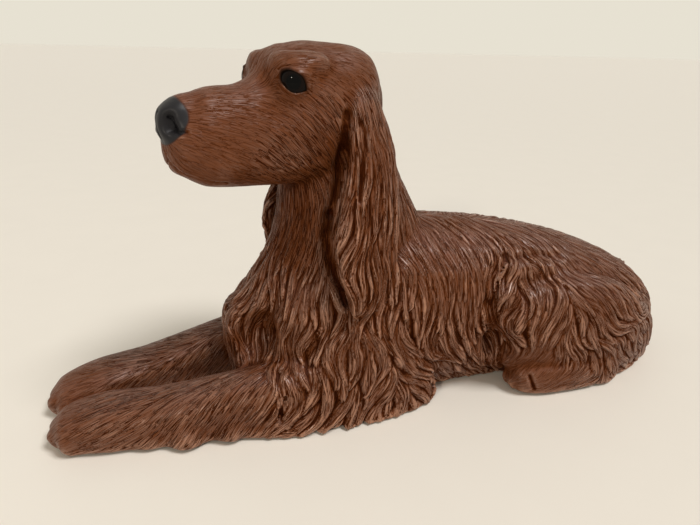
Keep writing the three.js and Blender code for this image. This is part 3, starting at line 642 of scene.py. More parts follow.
@dataclass
class HairFlow:
    """The lie and the kind of hair at each point of the skin.

    Attributes:
        skin: the surface that carries the hair.
        reach: distance in millimetres within which a guide counts most.
        blend: rounds of smoothing across the forms.
        lot: about how many points are worked out at a time.
        swing: distance in millimetres along the hair from one wave to the next.
        settle: rounds that even out the distance along the hair.
        drift: how far the waves of places apart are shifted, and the distance between such places.
        stir: how much the hair strays from the waves, and the distance between strays.
        combing: rounds of smoothing after the hair is combed along the clumps.
        follow: rounds of smoothing of the ridges that the hair follows.
        margin: rounds of smoothing that find how far a place lies inside the trunk.
        ease: rounds of smoothing after the hair is turned along the ridges.
        ridge_plain: how much steeper a ridge is across than along, from none followed to all.
        ridge_steep: how steep a ridge is, squared.
        ridge_inside: how far inside the trunk it lies.
        ridge_agrees: how well it runs with the hair.
        ridge_long: height of the clumps in millimetres where ridges are followed.
    """

    skin: Skin
    reach: float = 5.0
    blend: int = 14
    lot: int = 20000
    swing: float = 42.0
    settle: int = 160
    drift: Pair = (1.7, 60.0)
    stir: Pair = (0.3, 26.0)
    combing: int = 2
    follow: int = 60
    margin: int = 20
    ease: int = 6
    ridge_plain: Pair = (0.2, 0.6)
    ridge_steep: Pair = (0.01, 0.05)
    ridge_inside: Pair = (0.9, 1.0)
    ridge_agrees: Pair = (0.45, 0.75)
    ridge_long: Pair = (0.8, 1.6)

    def build(self) -> None:
        """Spread the guides over the skin, each within its own form, and wave the hair."""
        count = len(self.skin.points)
        self.ways = np.zeros((count, 3))
        self.hair = np.zeros((count, len(fields(Hair))))
        for number, casting in enumerate(Casting):
            chosen = np.nonzero(self.skin.owners == number)[0]
            places, ways, hair = self._guides(casting)
            for part in np.array_split(chosen, max(1, len(chosen) // self.lot)):
                gaps = ((self.skin.points[part][:, None] - places) ** 2).sum(2)
                weights = 1 / (gaps + self.reach**2) ** 2
                weights /= weights.sum(1, keepdims=True)
                self.ways[part] = weights @ ways
                self.hair[part] = weights @ hair
        self.hair = self.skin.spread(self.hair, self.blend)
        self.ways = self.skin.spread(self.ways, self.blend)
        self._level()
        self._wave()
        self._follow_ridges()
        self._level()

    def _run(self) -> np.ndarray:
        """Measure the distance along the hair.

        Returns:
            The distance at each point, in millimetres.
        """
        skin = self.skin
        own = np.repeat(np.arange(len(skin.points)), skin.counts)
        steps = skin.points[own] - skin.points[skin.neighbours]
        rise = dot(self.ways[own] + self.ways[skin.neighbours], steps) / 2
        run = -skin.points[:, 2]
        for _ in range(self.settle):
            run = np.add.reduceat(run[skin.neighbours] + rise, skin.starts) / skin.counts
        return run

    def _wave(self) -> None:
        """Swing the hair from side to side, neighbours together."""
        skin = self.skin
        drift, drift_length = self.drift
        stir, stir_length = self.stir
        shift = drift * ripples(skin.points, drift_length, SEED)
        swing = np.sin(self._run() * 2 * math.pi / self.swing + shift)
        swing = swing + stir * ripples(skin.points, stir_length, SEED + 1)
        angle = np.radians(self.hair[:, Column.BEND]) * swing
        aside = np.cross(skin.normals, self.ways)
        self.ways = self.ways * np.cos(angle)[:, None] + aside * np.sin(angle)[:, None]

    def comb(self, clumps: "Locks") -> None:
        """Turn the hair along the clumps that it lies in.

        Args:
            clumps: the clumps, carved already.
        """
        inside = clumps.winner >= 0
        self.ways[inside] = clumps.along.reshape(-1, 3)[clumps.winner[inside]]
        self.ways = self.skin.spread(self.ways, self.combing)
        self._level()

    def _follow_ridges(self) -> None:
        """Turn the trunk's hair along the ridges of the main locks that its casting has."""
        skin = self.skin
        height = dot(skin.points - skin.spread(skin.points, self.follow), skin.normals)
        own = np.repeat(np.arange(len(skin.points)), skin.counts)
        steps = skin.points[skin.neighbours] - skin.points[own]
        slope = (height[skin.neighbours] - height[own]) / np.maximum(dot(steps, steps), TINY)
        slopes = np.add.reduceat(steps * slope[:, None], skin.starts) * 2 / skin.counts[:, None]
        tensor = skin.spread((slopes[:, :, None] * slopes[:, None]).reshape(-1, 9), self.follow)
        sizes, ways = np.linalg.eigh(tensor.reshape(-1, 3, 3))
        along = unit(np.cross(skin.normals, ways[:, :, 2]))
        along = along * np.where(dot(along, self.ways) < 0, -1, 1)[:, None]
        plain = (sizes[:, 2] - sizes[:, 1]) / (sizes[:, 2] + sizes[:, 1] + TINY)
        trunk = (skin.owners == list(Casting).index(Casting.TRUNK)).astype(float)
        trunk = skin.spread(trunk, self.margin)
        weight = smooth_step(*self.ridge_plain, plain) * smooth_step(*self.ridge_steep, sizes[:, 2])
        weight *= smooth_step(*self.ridge_inside, trunk)
        weight *= smooth_step(*self.ridge_agrees, dot(along, self.ways))
        weight *= smooth_step(*self.ridge_long, self.hair[:, Column.CLUMP_HEIGHT])
        self.ways = skin.spread(self.ways + (along - self.ways) * weight[:, None], self.ease)

    def _guides(self, casting: Casting) -> tuple[np.ndarray, np.ndarray, np.ndarray]:
        """Lay a casting's guides into the figure.

        Args:
            casting: the casting that they guide.

        Returns:
            The guides' places, directions and kinds of hair, a row for each.
        """
        guides = GUIDES[casting.form]
        own = FORM_FRAME.get(casting.form, FIGURE)
        sides = [TAIL_SIDE] if casting is Casting.TAIL else casting.sides
        places = np.array([guide.at for guide in guides], float)
        ways = np.array([guide.way for guide in guides], float)
        kinds = [guide.coat.value for guide in guides]
        hair = np.array([astuple(kind) for kind in kinds])
        placed = np.concatenate([own.out(places, side) for side in sides])
        turned = np.concatenate([own.spin(ways, side) for side in sides])
        return placed, unit(turned), np.concatenate([hair] * len(sides))

    def _level(self) -> None:
        """Lay the directions into the surface."""
        normals = self.skin.normals
        self.ways = unit(self.ways - normals * dot(self.ways, normals)[:, None])


class Layer(Enum):
    """A layer of carved hair: the columns of its half-width and height in the hair's sizes."""

    CLUMPS = (Column.CLUMP_WIDTH, Column.CLUMP_HEIGHT)
    LOCKS = (Column.LOCK_WIDTH, Column.LOCK_HEIGHT)

    @property
    def width(self) -> Column:
        """The column of the half-width."""
        return self.value[0]

    @property
    def height(self) -> Column:
        """The column of the height."""
        return self.value[1]


@dataclass
class Locks:
    """A layer of locks that is carved into the skin.

    Attributes:
        skin: the surface that is carved.
        flow: the lie and the kind of its hair.
        layer: which of the hair's sizes are taken.
        cover: how many locks lie over each place, about.
        length: share of the hair's own length.
        sharp: how peaked a lock is across; one is an even arch.
        steps: points along each lock.
        stray: share of the hair's own bend by which each lock swings by itself.
        seed: of the locks' places and sizes.
        lean: how far a lock's crest lies to one side.
        vary: least and most share of the hair's sizes that a lock has.
        fill: a lock's area, as a share of its length times its half-width.
        parts: how many lots the locks are carved in, which saves memory.
        rounds: how often locks are laid, each time on what is still bare.
        seed_step: what each round adds to the seed.
        bare: share of a lock's height up to which a place counts as bare.
        stretch: how many steps along the lock each of its points reaches.
        facing: how far the skin has to face the same way as the lock.
        apart: millimetres by which the strands of a lock are shifted from those of the one before.
        root: share of its width that a lock has at its root, and how fast it widens from there.
        tip: how late and how bluntly it narrows to its tip.
        rising: shares of its length between which it rises from the skin.
        falling: shares of its length between which it falls back to the skin.
        thinnest: least half-width in millimetres that is reckoned with.
        closest: least share of their distance to which strands draw together.
    """

    skin: Skin
    flow: HairFlow
    layer: Layer
    cover: float
    length: float
    sharp: float
    steps: int
    stray: float
    seed: int
    lean: float = 0.35
    vary: Pair = (0.7, 1.3)
    fill: float = 1.4
    parts: int = 10
    rounds: int = 4
    seed_step: int = 10
    bare: float = 0.3
    stretch: float = 0.75
    facing: float = 0.2
    apart: float = 7.3
    root: Pair = (0.4, 2.0)
    tip: Pair = (2.6, 0.8)
    rising: Pair = (0.0, 0.4)
    falling: Pair = (1.0, 0.86)
    thinnest: float = 0.05
    closest: float = 0.3

    def carve(self, among: np.ndarray, tree: KDTree) -> np.ndarray:
        """Lay the locks in rounds and work out how high they stand.

        Args:
            among: which points of the skin the layer covers.
            tree: finds the skin's points.

        Returns:
            The height at each point, in millimetres.
        """
        count = len(self.skin.points)
        self.stood, self.winner = np.zeros(count), np.full(count, -1)
        self.long = self.wide = self.high = self.bias = np.empty(0)
        self.at = self.up = np.empty((0, self.steps, 3))
        for turn in range(self.rounds):
            first = len(self.long)
            bare = self.stood <= self.bare * self.flow.hair[:, self.layer.height]
            self._lay(among & bare, tree, self.seed + self.seed_step * turn)
            self.along = unit(np.gradient(self.at, axis=1))
            self.aside = unit(np.cross(self.up, self.along))
            for lot in np.array_split(np.arange(first, len(self.long)), self.parts):
                point, sample, height = self._over(lot, tree)
                order = np.argsort(height)
                order = order[among[point[order]] & (height[order] > self.stood[point[order]])]
                self.stood[point[order]] = height[order]
                self.winner[point[order]] = sample[order]
        log.info("%s: %d", self.layer.name.lower(), len(self.long))
        return self.stood

    def _lay(self, free: np.ndarray, tree: KDTree, seed: int) -> None:
        """Set the middles of locks on free points and run them both ways along the hair's lie.

        Args:
            free: which points may carry a lock's middle.
            tree: finds the skin's points.
            seed: of the locks' places and sizes.
        """
        rng = np.random.default_rng(seed)
        skin, hair = self.skin, self.flow.hair
        long, wide = hair[:, Column.LENGTH] * self.length, hair[:, self.layer.width]
        chance = np.where(free, self.cover * skin.areas / (long * wide * self.fill), 0)
        middles = np.nonzero(rng.random(len(chance)) < chance)[0]
        vary = rng.uniform(*self.vary, (len(middles), 3))
        self.long = np.append(self.long, long[middles] * vary[:, 0])
        self.wide = np.append(self.wide, wide[middles] * vary[:, 1])
        self.high = np.append(self.high, vary[:, 2])
        self.bias = np.append(self.bias, rng.choice((-1.0, 1.0), len(middles)) * self.lean)
        stride = long[middles] * vary[:, 0] / (self.steps - 1)
        sway = np.radians(hair[middles, Column.BEND]) * self.stray
        phase = rng.uniform(0, 2 * math.pi, len(middles))
        half = self.steps // 2
        at = np.empty((len(middles), self.steps, 3))
        up = np.empty_like(at)
        for sign, stop in ((1, self.steps), (-1, -1)):
            places = skin.points[middles]
            for step in range(half, stop, sign):
                found = np.array([tree.find(p)[1] for p in places.tolist()], int)
                normals, ways = skin.normals[found], self.flow.ways[found]
                places = places - normals * dot(places - skin.points[found], normals)[:, None]
                at[:, step], up[:, step] = places, normals
                swing = sway * np.sin(phase + (step - half) * stride * 2 * math.pi / self.flow.swing)
                aside = np.cross(normals, ways)
                ways = ways * np.cos(swing)[:, None] + aside * np.sin(swing)[:, None]
                places = places + ways * (sign * stride)[:, None]
        self.at = np.concatenate([self.at, at])
        self.up = np.concatenate([self.up, up])

    def _narrowing(self, share: np.ndarray) -> np.ndarray:
        """Narrow a lock to its root and to its tip.

        Args:
            share: places along the lock, from 0 to 1.

        Returns:
            The share of its width that it has there.
        """
        start, growth = self.root
        late, blunt = self.tip
        return np.minimum(1, start + growth * share) * np.clip(1 - share**late, 0, 1) ** blunt

    def _over(self, lot: np.ndarray, tree: KDTree) -> tuple[np.ndarray, np.ndarray, np.ndarray]:
        """Find the points that some locks lie over.

        Args:
            lot: the locks' numbers.
            tree: finds the skin's points.

        Returns:
            A point, the sample of the lock over it and the lock's height there, for each pair of them.
        """
        skin, last = self.skin, self.steps - 1
        stride = self.long[lot] / last
        reach = np.repeat(np.hypot(self.wide[lot], self.stretch * stride), self.steps)
        spots = self.at[lot].reshape(-1, 3)
        found = [[f[1] for f in tree.find_range(p, r)] for p, r in zip(spots.tolist(), reach.tolist())]
        counts = [len(f) for f in found]
        point = np.fromiter(itertools.chain.from_iterable(found), np.int64, sum(counts))
        sample = np.repeat(np.arange(len(spots)), counts)
        lock, step = lot[sample // self.steps], sample % self.steps
        gap = skin.points[point] - self.at[lock, step]
        ahead = dot(gap, self.along[lock, step]) * last / self.long[lock]
        share = (step + ahead) / last
        wide = self.wide[lock] * self._narrowing(np.clip(share, 0, 1))
        u = dot(gap, self.aside[lock, step]) / np.maximum(wide, self.thinnest)
        inside = (share > 0) & (share < 1) & (np.abs(u) < 1) & (np.abs(ahead) < self.stretch)
        inside &= dot(skin.normals[point], self.up[lock, step]) > self.facing
        point, lock, step, share, u = (values[inside] for values in (point, lock, step, share, u))
        crest = self.bias[lock]
        slope = np.where(u > crest, (u - crest) / (1 - crest), (crest - u) / (1 + crest))
        rise = smooth_step(*self.rising, share) * smooth_step(*self.falling, share)
        full = self.high[lock] * self.flow.hair[point, self.layer.height]
        height = full * rise * np.clip(1 - slope**2, 0, 1) ** self.sharp
        return point, lock * self.steps + step, height

    def strand_places(self) -> tuple[np.ndarray, np.ndarray]:
        """Give each corner of the skin its place across and along the lock that its face lies on.

        Returns:
            Millimetres across, with a shift of its own for each lock, and millimetres along.
        """
        skin = self.skin
        heights = self.stood[skin.corner_points]
        order = np.lexsort((heights, skin.corner_faces))
        last = np.append(skin.face_starts[1:], len(order)) - 1
        sample = self.winner[skin.corner_points[order[last]]][skin.corner_faces]
        lock, step = sample // self.steps, sample % self.steps
        gap = skin.points[skin.corner_points] - self.at[lock, step]
        along = self.long[lock] / (self.steps - 1) * step + dot(gap, self.along[lock, step])
        share = np.clip(along / self.long[lock], 0, 1)
        narrow = np.maximum(self._narrowing(share), self.closest)
        across = dot(gap, self.aside[lock, step]) / narrow + lock * self.apart
        return np.where(sample < 0, 0, across), np.where(sample < 0, 0, along)


@dataclass
class EyePair:
    """The two glass eyes in their sockets, in the head's own frame.

    Attributes:
        place: centre of the left eyeball.
        radius: of the eyeball.
        segments: of the ball's mesh, round it and from pole to pole.
        outward: degrees that each eye looks aside from straight ahead.
        tilt: degrees that the lids' rear corner lies lower.
        half_long: half the lids' opening from corner to corner.
        half_high: half the lids' opening from lid to lid.
        front_power: shape of the front corner; 2 is round and 1 a sharp point.
        rear_power: shape of the rear corner.
        turnover: places along the opening between which the one shape gives way to the other.
        around: how many radii from the ball's centre the lids reach.
        sink: millimetres that the skin lies behind the glass in the opening.
        brink: rings between which it sinks; ring 1 is the opening's edge, and more lies outside it.
        rim: ring at which the lids stand highest, breadth of the rise and its millimetres.
        crease: the same of the fold over the upper lid.
        cover: least millimetres of lid over the glass.
        lap: rings between which the lids gain that thickness.
        paint: ring that the dark rim paint ends at, and what the upper lid and the front corner add to it as
            painted shade.
        paint_full: ring up to which the paint is full.
        upper: heights between which the upper lid's share grows.
        front: places along the opening between which the front corner's share grows.
    """

    place: Triple = (27.2, 15.0, 16.7)
    radius: float = 6.8
    segments: tuple[int, int] = (48, 32)
    outward: float = 50.0
    tilt: float = 33.0
    half_long: float = 5.2
    half_high: float = 3.3
    front_power: float = 1.9
    rear_power: float = 1.1
    turnover: Pair = (-1.0, 3.0)
    around: float = 2.4
    sink: float = 1.4
    brink: Pair = (1.0, 0.8)
    rim: Triple = (1.28, 0.22, 0.6)
    crease: Triple = (2.1, 0.3, -0.5)
    cover: float = 0.3
    lap: Pair = (1.0, 1.3)
    paint: Triple = (1.35, 0.4, 0.4)
    paint_full: float = 1.1
    upper: Pair = (-1.0, 1.0)
    front: Pair = (-2.0, -4.5)

    def centre(self, side: Side) -> np.ndarray:
        """Place an eyeball's centre in the figure."""
        return HEAD.out(np.array(self.place), side)

    def axes(self, side: Side) -> tuple[np.ndarray, np.ndarray, np.ndarray]:
        """Work out an eye's own directions in the figure.

        Args:
            side: the dog's side.

        Returns:
            The line of sight, the direction to the rear corner, and the direction to the upper lid.
        """
        a, t = math.radians(self.outward), math.radians(self.tilt)
        sight = np.array([math.cos(a), math.sin(a), 0])
        rear = np.array([-math.sin(a), math.cos(a), 0])
        up = np.array([0, 0, 1.0])
        back = rear * math.cos(t) - up * math.sin(t)
        lift = up * math.cos(t) + rear * math.sin(t)
        return tuple(HEAD.spin(way, side) for way in (sight, back, lift))

    def ball_meshes(self) -> list[bpy.types.Mesh]:
        """Make plain balls that fill the sockets."""
        return [self._ball(side, self.radius) for side in Side]

    def _ball(self, side: Side, radius: float) -> bpy.types.Mesh:
        """Make one ball at an eye.

        Args:
            side: the dog's side.
            radius: in millimetres.

        Returns:
            The ball's mesh, with its pole in the line of sight.
        """
        work = bmesh.new()
        u, v = self.segments
        bmesh.ops.create_uvsphere(work, u_segments=u, v_segments=v, radius=radius * MM)
        sight, back, lift = self.axes(side)
        turn = Matrix(np.stack([back, lift, sight], 1).tolist()).to_4x4()
        place = Matrix.Translation(Vector(self.centre(side) * MM))
        bmesh.ops.transform(work, matrix=place @ turn, verts=work.verts)
        mesh = bpy.data.meshes.new(f"{side.name.lower()}_eye")
        work.to_mesh(mesh)
        work.free()
        return mesh

    def carve_lids(self, skin: Skin) -> np.ndarray:
        """Sink the opening behind the glass and raise the lids round it.

        Args:
            skin: the surface to carve.

        Returns:
            How much of each point is lid or socket, from 0 to 1.
        """
        shade = np.zeros(len(skin.points))
        for side in Side:
            sight, back, lift = self.axes(side)
            gap = skin.points - self.centre(side)
            ahead, a, b = gap @ sight, gap @ back, gap @ lift
            near = (np.linalg.norm(gap, axis=1) < self.around * self.radius) & (ahead > 0)
            power = self.front_power + (self.rear_power - self.front_power) * smooth_step(*self.turnover, a)
            ring = np.abs(a / self.half_long) ** 2 + np.abs(b / self.half_high) ** power
            inside = near & (ring < 1)
            distance = np.linalg.norm(gap, axis=1)
            sunk = np.minimum(distance, self.radius - self.sink * smooth_step(*self.brink, ring))
            moved = self.centre(side) + gap / distance[:, None] * sunk[:, None]
            skin.points = np.where(inside[:, None], moved, skin.points)
            rise = bell(ring, *self.rim) * near + bell(ring, *self.crease) * near * (b > 0)
            gap = skin.points + sight * rise[:, None] - self.centre(side)
            distance = np.linalg.norm(gap, axis=1)
            least = self.radius + self.cover * smooth_step(*self.lap, ring)
            moved = self.centre(side) + gap * (np.maximum(distance, least) / distance)[:, None]
            skin.points = np.where((near & ~inside)[:, None], moved, skin.points)
            # dark rim paint round the opening; its widening over the upper lid and into the front corner is
            # painted shade
            lower, upper, front = self.paint
            edge = lower + upper * smooth_step(*self.upper, b) + front * smooth_step(*self.front, a)
            shade = np.maximum(shade, near * smooth_step(edge, self.paint_full, ring))
        skin.refresh()
        return shade

    def build(self, finish: "EyeFinish") -> list[bpy.types.Object]:
        """Make the two glass eyes.

        Args:
            finish: the eyes' finish.

        Returns:
            The eyes' objects.
        """
        made = []
        for side in Side:
            mesh = self._ball(side, self.radius)
            mesh.shade_smooth()
            word = side.name.lower()
            eye = bpy.data.objects.new(f"{word}_glass_eye", mesh)
            bpy.context.scene.collection.objects.link(eye)
            mesh.materials.append(finish.material(self, side))
            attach(eye, BODY)
            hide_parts(f"{word}_eye_glass", f"{word}_eye_iris")
            made.append(eye)
        return made


@dataclass(frozen=True)
class Ramp:
    """A smooth change of a number: where it starts and stops, and what it becomes there and beyond."""

    low: float
    high: float
    first: float = 0.0
    last: float = 1.0


class Shader:
    """A node material while it is put together."""

    def __init__(self, name: str) -> None:
        """Start a material with a plain surface.

        Args:
            name: the material's name.
        """
        self.material = bpy.data.materials.new(name)
        self.material.use_nodes = True
        self.tree = self.material.node_tree
        self.surface = self.tree.nodes["Principled BSDF"]

    def node(self, kind: str, **settings: object) -> bpy.types.Node:
        """Add a node and set its properties and, by name, its inputs.

        Args:
            kind: the node's type.
            settings: properties of the node, or inputs written with _ for a space.

        Returns:
            The node.
        """
        made = self.tree.nodes.new(kind)
        for name, value in settings.items():
            if hasattr(made, name):
                setattr(made, name, value)
            else:
                self.feed(made.inputs[name.replace("_", " ")], value)
        return made

    def feed(self, socket: bpy.types.NodeSocket, value: object) -> None:
        """Link a socket to another, or set its value.

        Args:
            socket: the input.
            value: an output to link, or a plain value.
        """
        if isinstance(value, bpy.types.NodeSocket):
            self.tree.links.new(value, socket)
        else:
            socket.default_value = value

    def set(self, **inputs: object) -> None:
        """Set or link the surface's own inputs, written with _ for a space."""
        for name, value in inputs.items():
            self.feed(self.surface.inputs[name.replace("_", " ")], value)

    def attribute(self, name: str) -> bpy.types.NodeSocket:
        """Read a number that the mesh carries."""
        return self.node("ShaderNodeAttribute", attribute_name=name).outputs["Fac"]

    def math(self, operation: str, *values: object) -> bpy.types.NodeSocket:
        """Work out a number from others.

        Args:
            operation: what is done.
            values: numbers or outputs.

        Returns:
            The result.
        """
        made = self.node("ShaderNodeMath", operation=operation)
        for socket, value in zip(made.inputs, values):
            self.feed(socket, value)
        return made.outputs[0]

    def ramp(self, value: object, change: Ramp) -> bpy.types.NodeSocket:
        """Carry a number smoothly from one range to another and no further.

        Args:
            value: the number.
            change: the two ranges.

        Returns:
            The number in its new range.
        """
        made = self.node("ShaderNodeMapRange", interpolation_type="SMOOTHSTEP")
        for socket, number in zip(made.inputs, (value, *astuple(change))):
            self.feed(socket, number)
        return made.outputs["Result"]

    def mix(self, share: object, first: object, second: object) -> bpy.types.NodeSocket:
        """Mix two colours.

        Args:
            share: of the second colour.
            first: a colour or an output.
            second: a colour or an output.

        Returns:
            The mixed colour.
        """
        made = self.node("ShaderNodeMix", data_type="RGBA")
        colours = [socket for socket in made.inputs if socket.type == "RGBA"]
        self.feed(made.inputs["Factor"], share)
        for socket, value in zip(colours, (first, second)):
            self.feed(socket, value)
        return next(socket for socket in made.outputs if socket.type == "RGBA")

    def noise(self, vector: object, scale: float, detail: float) -> bpy.types.NodeSocket:
        """Add a noise pattern.

        Args:
            vector: the places that it is laid on.
            scale: how fine it is.
            detail: how many finer layers it has.

        Returns:
            Values about NOISE_MIDDLE.
        """
        made = self.node("ShaderNodeTexNoise", Scale=scale, Detail=detail)
        self.feed(made.inputs["Vector"], vector)
        return made.outputs["Fac"]

    def place(self) -> bpy.types.NodeSocket:
        """Read the place on the object."""
        return self.node("ShaderNodeTexCoord").outputs["Object"]

    def bump(self, height: object, strength: float, distance: float) -> bpy.types.NodeSocket:
        """Turn heights into a normal.

        Args:
            height: the heights.
            strength: how much they count.
            distance: metres that a height of one stands for.

        Returns:
            The normal.
        """
        made = self.node("ShaderNodeBump", Strength=strength, Distance=distance)
        self.feed(made.inputs["Height"], height)
        return made.outputs["Normal"]


@dataclass(frozen=True)
class CoatFinish:
    """Painted resin: a dark wash in the hollows that also paints their shade, a dry brush of copper on the
    ridges that also paints a highlight on the crests, and a painted sheen on what faces up.

    Attributes:
        hollow: colour of the wash, which is also painted shade in the hollows.
        body: colour of the locks' flanks.
        ridge: colour of the dry brush, which is also a painted highlight on the crests.
        painted_sheen_colour: colour of the painted sheen on what faces up, a painted reflection of the
            bright room above.
        nose: colour of the nose leather.
        lid: colour of the lids, the nostrils and the line of the mouth.
        strand_share: how fast strands change along a lock, as a share of how fast they do across.
        strand_detail: finer layers of the strands' noise.
        tone_scale: how fine the strands' own tones are.
        tone: what the noise becomes for these tones.
        line_scale: how close the dark lines lie that part the strands.
        line: what the distance from such a line becomes.
        mottle_scale: how fine the patches are in which the paint is worn.
        mottle_detail: finer layers of these patches.
        mottle: how much the patches count.
        near_table: what is added to the dry brush's reach near the table, by the height over it in metres.
        wash_and_shade: how high a place stands where the wash and its painted shade give way to the body
            colour.
        brushed_and_highlighted: how high it stands where the dry brush and its painted highlight take hold.
        brush_and_highlight: how much the dry brush and its painted highlight cover.
        facing: how far a place faces up where the painted sheen takes hold.
        sheen_patch: the patches where it does.
        painted_sheen: how much the painted sheen covers.
        rough: roughness by how high a place stands.
        nose_smooth: how much less rough the nose is.
        gloss: specular level by how high a place stands.
        nose_gloss: specular level of the nose.
        bump: how much the strands' bump counts.
        bump_height: metres that a strand stands up.
    """

    hollow: Colour = (0.048, 0.0095, 0.0012, 1)
    body: Colour = (0.140, 0.0410, 0.0118, 1)
    ridge: Colour = (0.40, 0.186, 0.103, 1)
    painted_sheen_colour: Colour = (0.22, 0.105, 0.080, 1)
    nose: Colour = (0.014, 0.0135, 0.016, 1)
    lid: Colour = (0.006, 0.004, 0.003, 1)
    strand_share: float = 0.06
    strand_detail: float = 1.0
    tone_scale: float = 1.25
    tone: Ramp = Ramp(0.36, 0.64, -0.2, 0.25)
    line_scale: float = 0.95
    line: Ramp = Ramp(0.005, 0.05, -0.9, 0.3)
    mottle_scale: float = 60.0
    mottle_detail: float = 3.0
    mottle: float = 0.5
    near_table: Ramp = Ramp(0.003, 0.009, 0.5, 0.0)
    wash_and_shade: Ramp = Ramp(-1.0, 0.25)
    brushed_and_highlighted: Ramp = Ramp(0.3, 1.5)
    brush_and_highlight: float = 0.85
    facing: Ramp = Ramp(0.3, 1.0)
    sheen_patch: Ramp = Ramp(0.3, 0.7)
    painted_sheen: float = 0.3
    rough: Ramp = Ramp(-0.6, 0.8, 0.6, 0.32)
    nose_smooth: float = 0.15
    gloss: Ramp = Ramp(-0.4, 1.0, 0.03, 0.65)
    nose_gloss: float = 0.22
    bump: float = 0.9
    bump_height: float = 0.0005

    def material(self) -> bpy.types.Material:
        """Make the coat's material.

        Returns:
            The material, which reads the numbers that the coat's meshes carry.
        """
        shader = Shader("painted_coat")
        nose, lid = shader.attribute("nose"), shader.attribute("lid")
        haired = shader.math("SUBTRACT", 1.0, shader.math("MAXIMUM", nose, lid))
        fine = self._strands(shader)
        rise = shader.math("ADD", shader.attribute("relief"), fine)
        colour = shader.mix(nose, self._hair_colour(shader, rise), self.nose)
        shader.set(Base_Color=shader.mix(lid, colour, self.lid))
        smooth = shader.math("MULTIPLY", nose, self.nose_smooth)
        shader.set(Roughness=shader.math("SUBTRACT", shader.ramp(rise, self.rough), smooth))
        gloss = shader.math("MULTIPLY", haired, shader.ramp(rise, self.gloss))
        shine = shader.math("MULTIPLY", shader.math("SUBTRACT", nose, lid), self.nose_gloss)
        shader.set(Specular_IOR_Level=shader.math("MAXIMUM", gloss, shine))
        height = shader.math("MULTIPLY", fine, haired)
        shader.set(Normal=shader.bump(height, self.bump, self.bump_height))
        return shader.material

    def _strands(self, shader: Shader) -> bpy.types.NodeSocket:
        """Lay single strands along the locks, parted by thin lines.

        Args:
            shader: the material.

        Returns:
            How high the strands stand; the lines between them lie lowest.
        """
        along = shader.math("MULTIPLY", shader.attribute("along"), self.strand_share)
        lie = shader.node("ShaderNodeCombineXYZ", X=shader.attribute("across"), Y=along).outputs[0]
        tone = shader.ramp(shader.noise(lie, self.tone_scale, self.strand_detail), self.tone)
        level = shader.math("SUBTRACT", shader.noise(lie, self.line_scale, self.strand_detail), NOISE_MIDDLE)
        line = shader.ramp(shader.math("ABSOLUTE", level), self.line)
        return shader.math("MULTIPLY", shader.math("ADD", tone, line), shader.attribute("strand"))

    def _hair_colour(self, shader: Shader, rise: bpy.types.NodeSocket) -> bpy.types.NodeSocket:
        """Paint the hair.

        Args:
            shader: the material.
            rise: how high a place stands.

        Returns:
            The paint's colour.
        """
        place = shader.place()
        mottle = shader.noise(place, self.mottle_scale, self.mottle_detail)
        patches = shader.math("MULTIPLY", shader.math("SUBTRACT", mottle, NOISE_MIDDLE), self.mottle)
        height = shader.node("ShaderNodeSeparateXYZ", Vector=place).outputs["Z"]
        # lighter towards the table: the dry brush takes hold more within a few millimetres of it
        wear = shader.math("ADD", patches, shader.ramp(height, self.near_table))
        worn = shader.math("ADD", rise, wear)
        # painted shade and highlight: low places take the dark wash, which also stands for their shade, and
        # high places the dry brush, which also stands for a highlight
        colour = shader.mix(shader.ramp(rise, self.wash_and_shade), self.hollow, self.body)
        brush_and_highlight = shader.math("MULTIPLY", shader.ramp(worn, self.brushed_and_highlighted), self.brush_and_highlight)
        colour = shader.mix(brush_and_highlight, colour, self.ridge)
        # painted reflection: what faces up is lightened towards a pale sheen in patches, as the bright room
        # above would show on the paint
        normal = shader.node("ShaderNodeNewGeometry").outputs["Normal"]
        up = shader.node("ShaderNodeSeparateXYZ", Vector=normal).outputs["Z"]
        painted_sheen = shader.math("MULTIPLY", shader.ramp(up, self.facing), shader.ramp(mottle, self.sheen_patch))
        return shader.mix(shader.math("MULTIPLY", painted_sheen, self.painted_sheen), colour, self.painted_sheen_colour)


@dataclass(frozen=True)
class EyeFinish:
    """Dark glass over a brown iris.

    Attributes:
        pupil: colour of the pupil and of the glass beyond the iris.
        iris: colour of the iris.
        inner: distance from the eye's front in metres at which the pupil gives way to the iris.
        outer: distance at which the iris ends.
        roughness: of the glass.
        gloss: specular level of the glass.
    """

    pupil: Colour = (0.002, 0.002, 0.002, 1)
    iris: Colour = (0.006, 0.003, 0.002, 1)
    inner: Ramp = Ramp(0.0026, 0.0034)
    outer: Ramp = Ramp(0.0042, 0.0056)
    roughness: float = 0.06
    gloss: float = 0.08

    def material(self, eyes: EyePair, side: Side) -> bpy.types.Material:
        """Make one eye's material.

        Args:
            eyes: the eyes, for the place and size.
            side: the dog's side.

        Returns:
            The material.
        """
        shader = Shader(f"{side.name.lower()}_eye_glass")
        front = eyes.centre(side) + eyes.axes(side)[0] * eyes.radius
        away = shader.node("ShaderNodeVectorMath", operation="DISTANCE")
        shader.feed(away.inputs[0], shader.place())
        away.inputs[1].default_value = front * MM
        ring = shader.ramp(away.outputs["Value"], self.inner)
        edge = shader.ramp(away.outputs["Value"], self.outer)
        colour = shader.mix(ring, self.pupil, self.iris)
        shader.set(Base_Color=shader.mix(edge, colour, self.pupil))
        shader.set(Roughness=self.roughness, Specular_IOR_Level=self.gloss)
        return shader.material


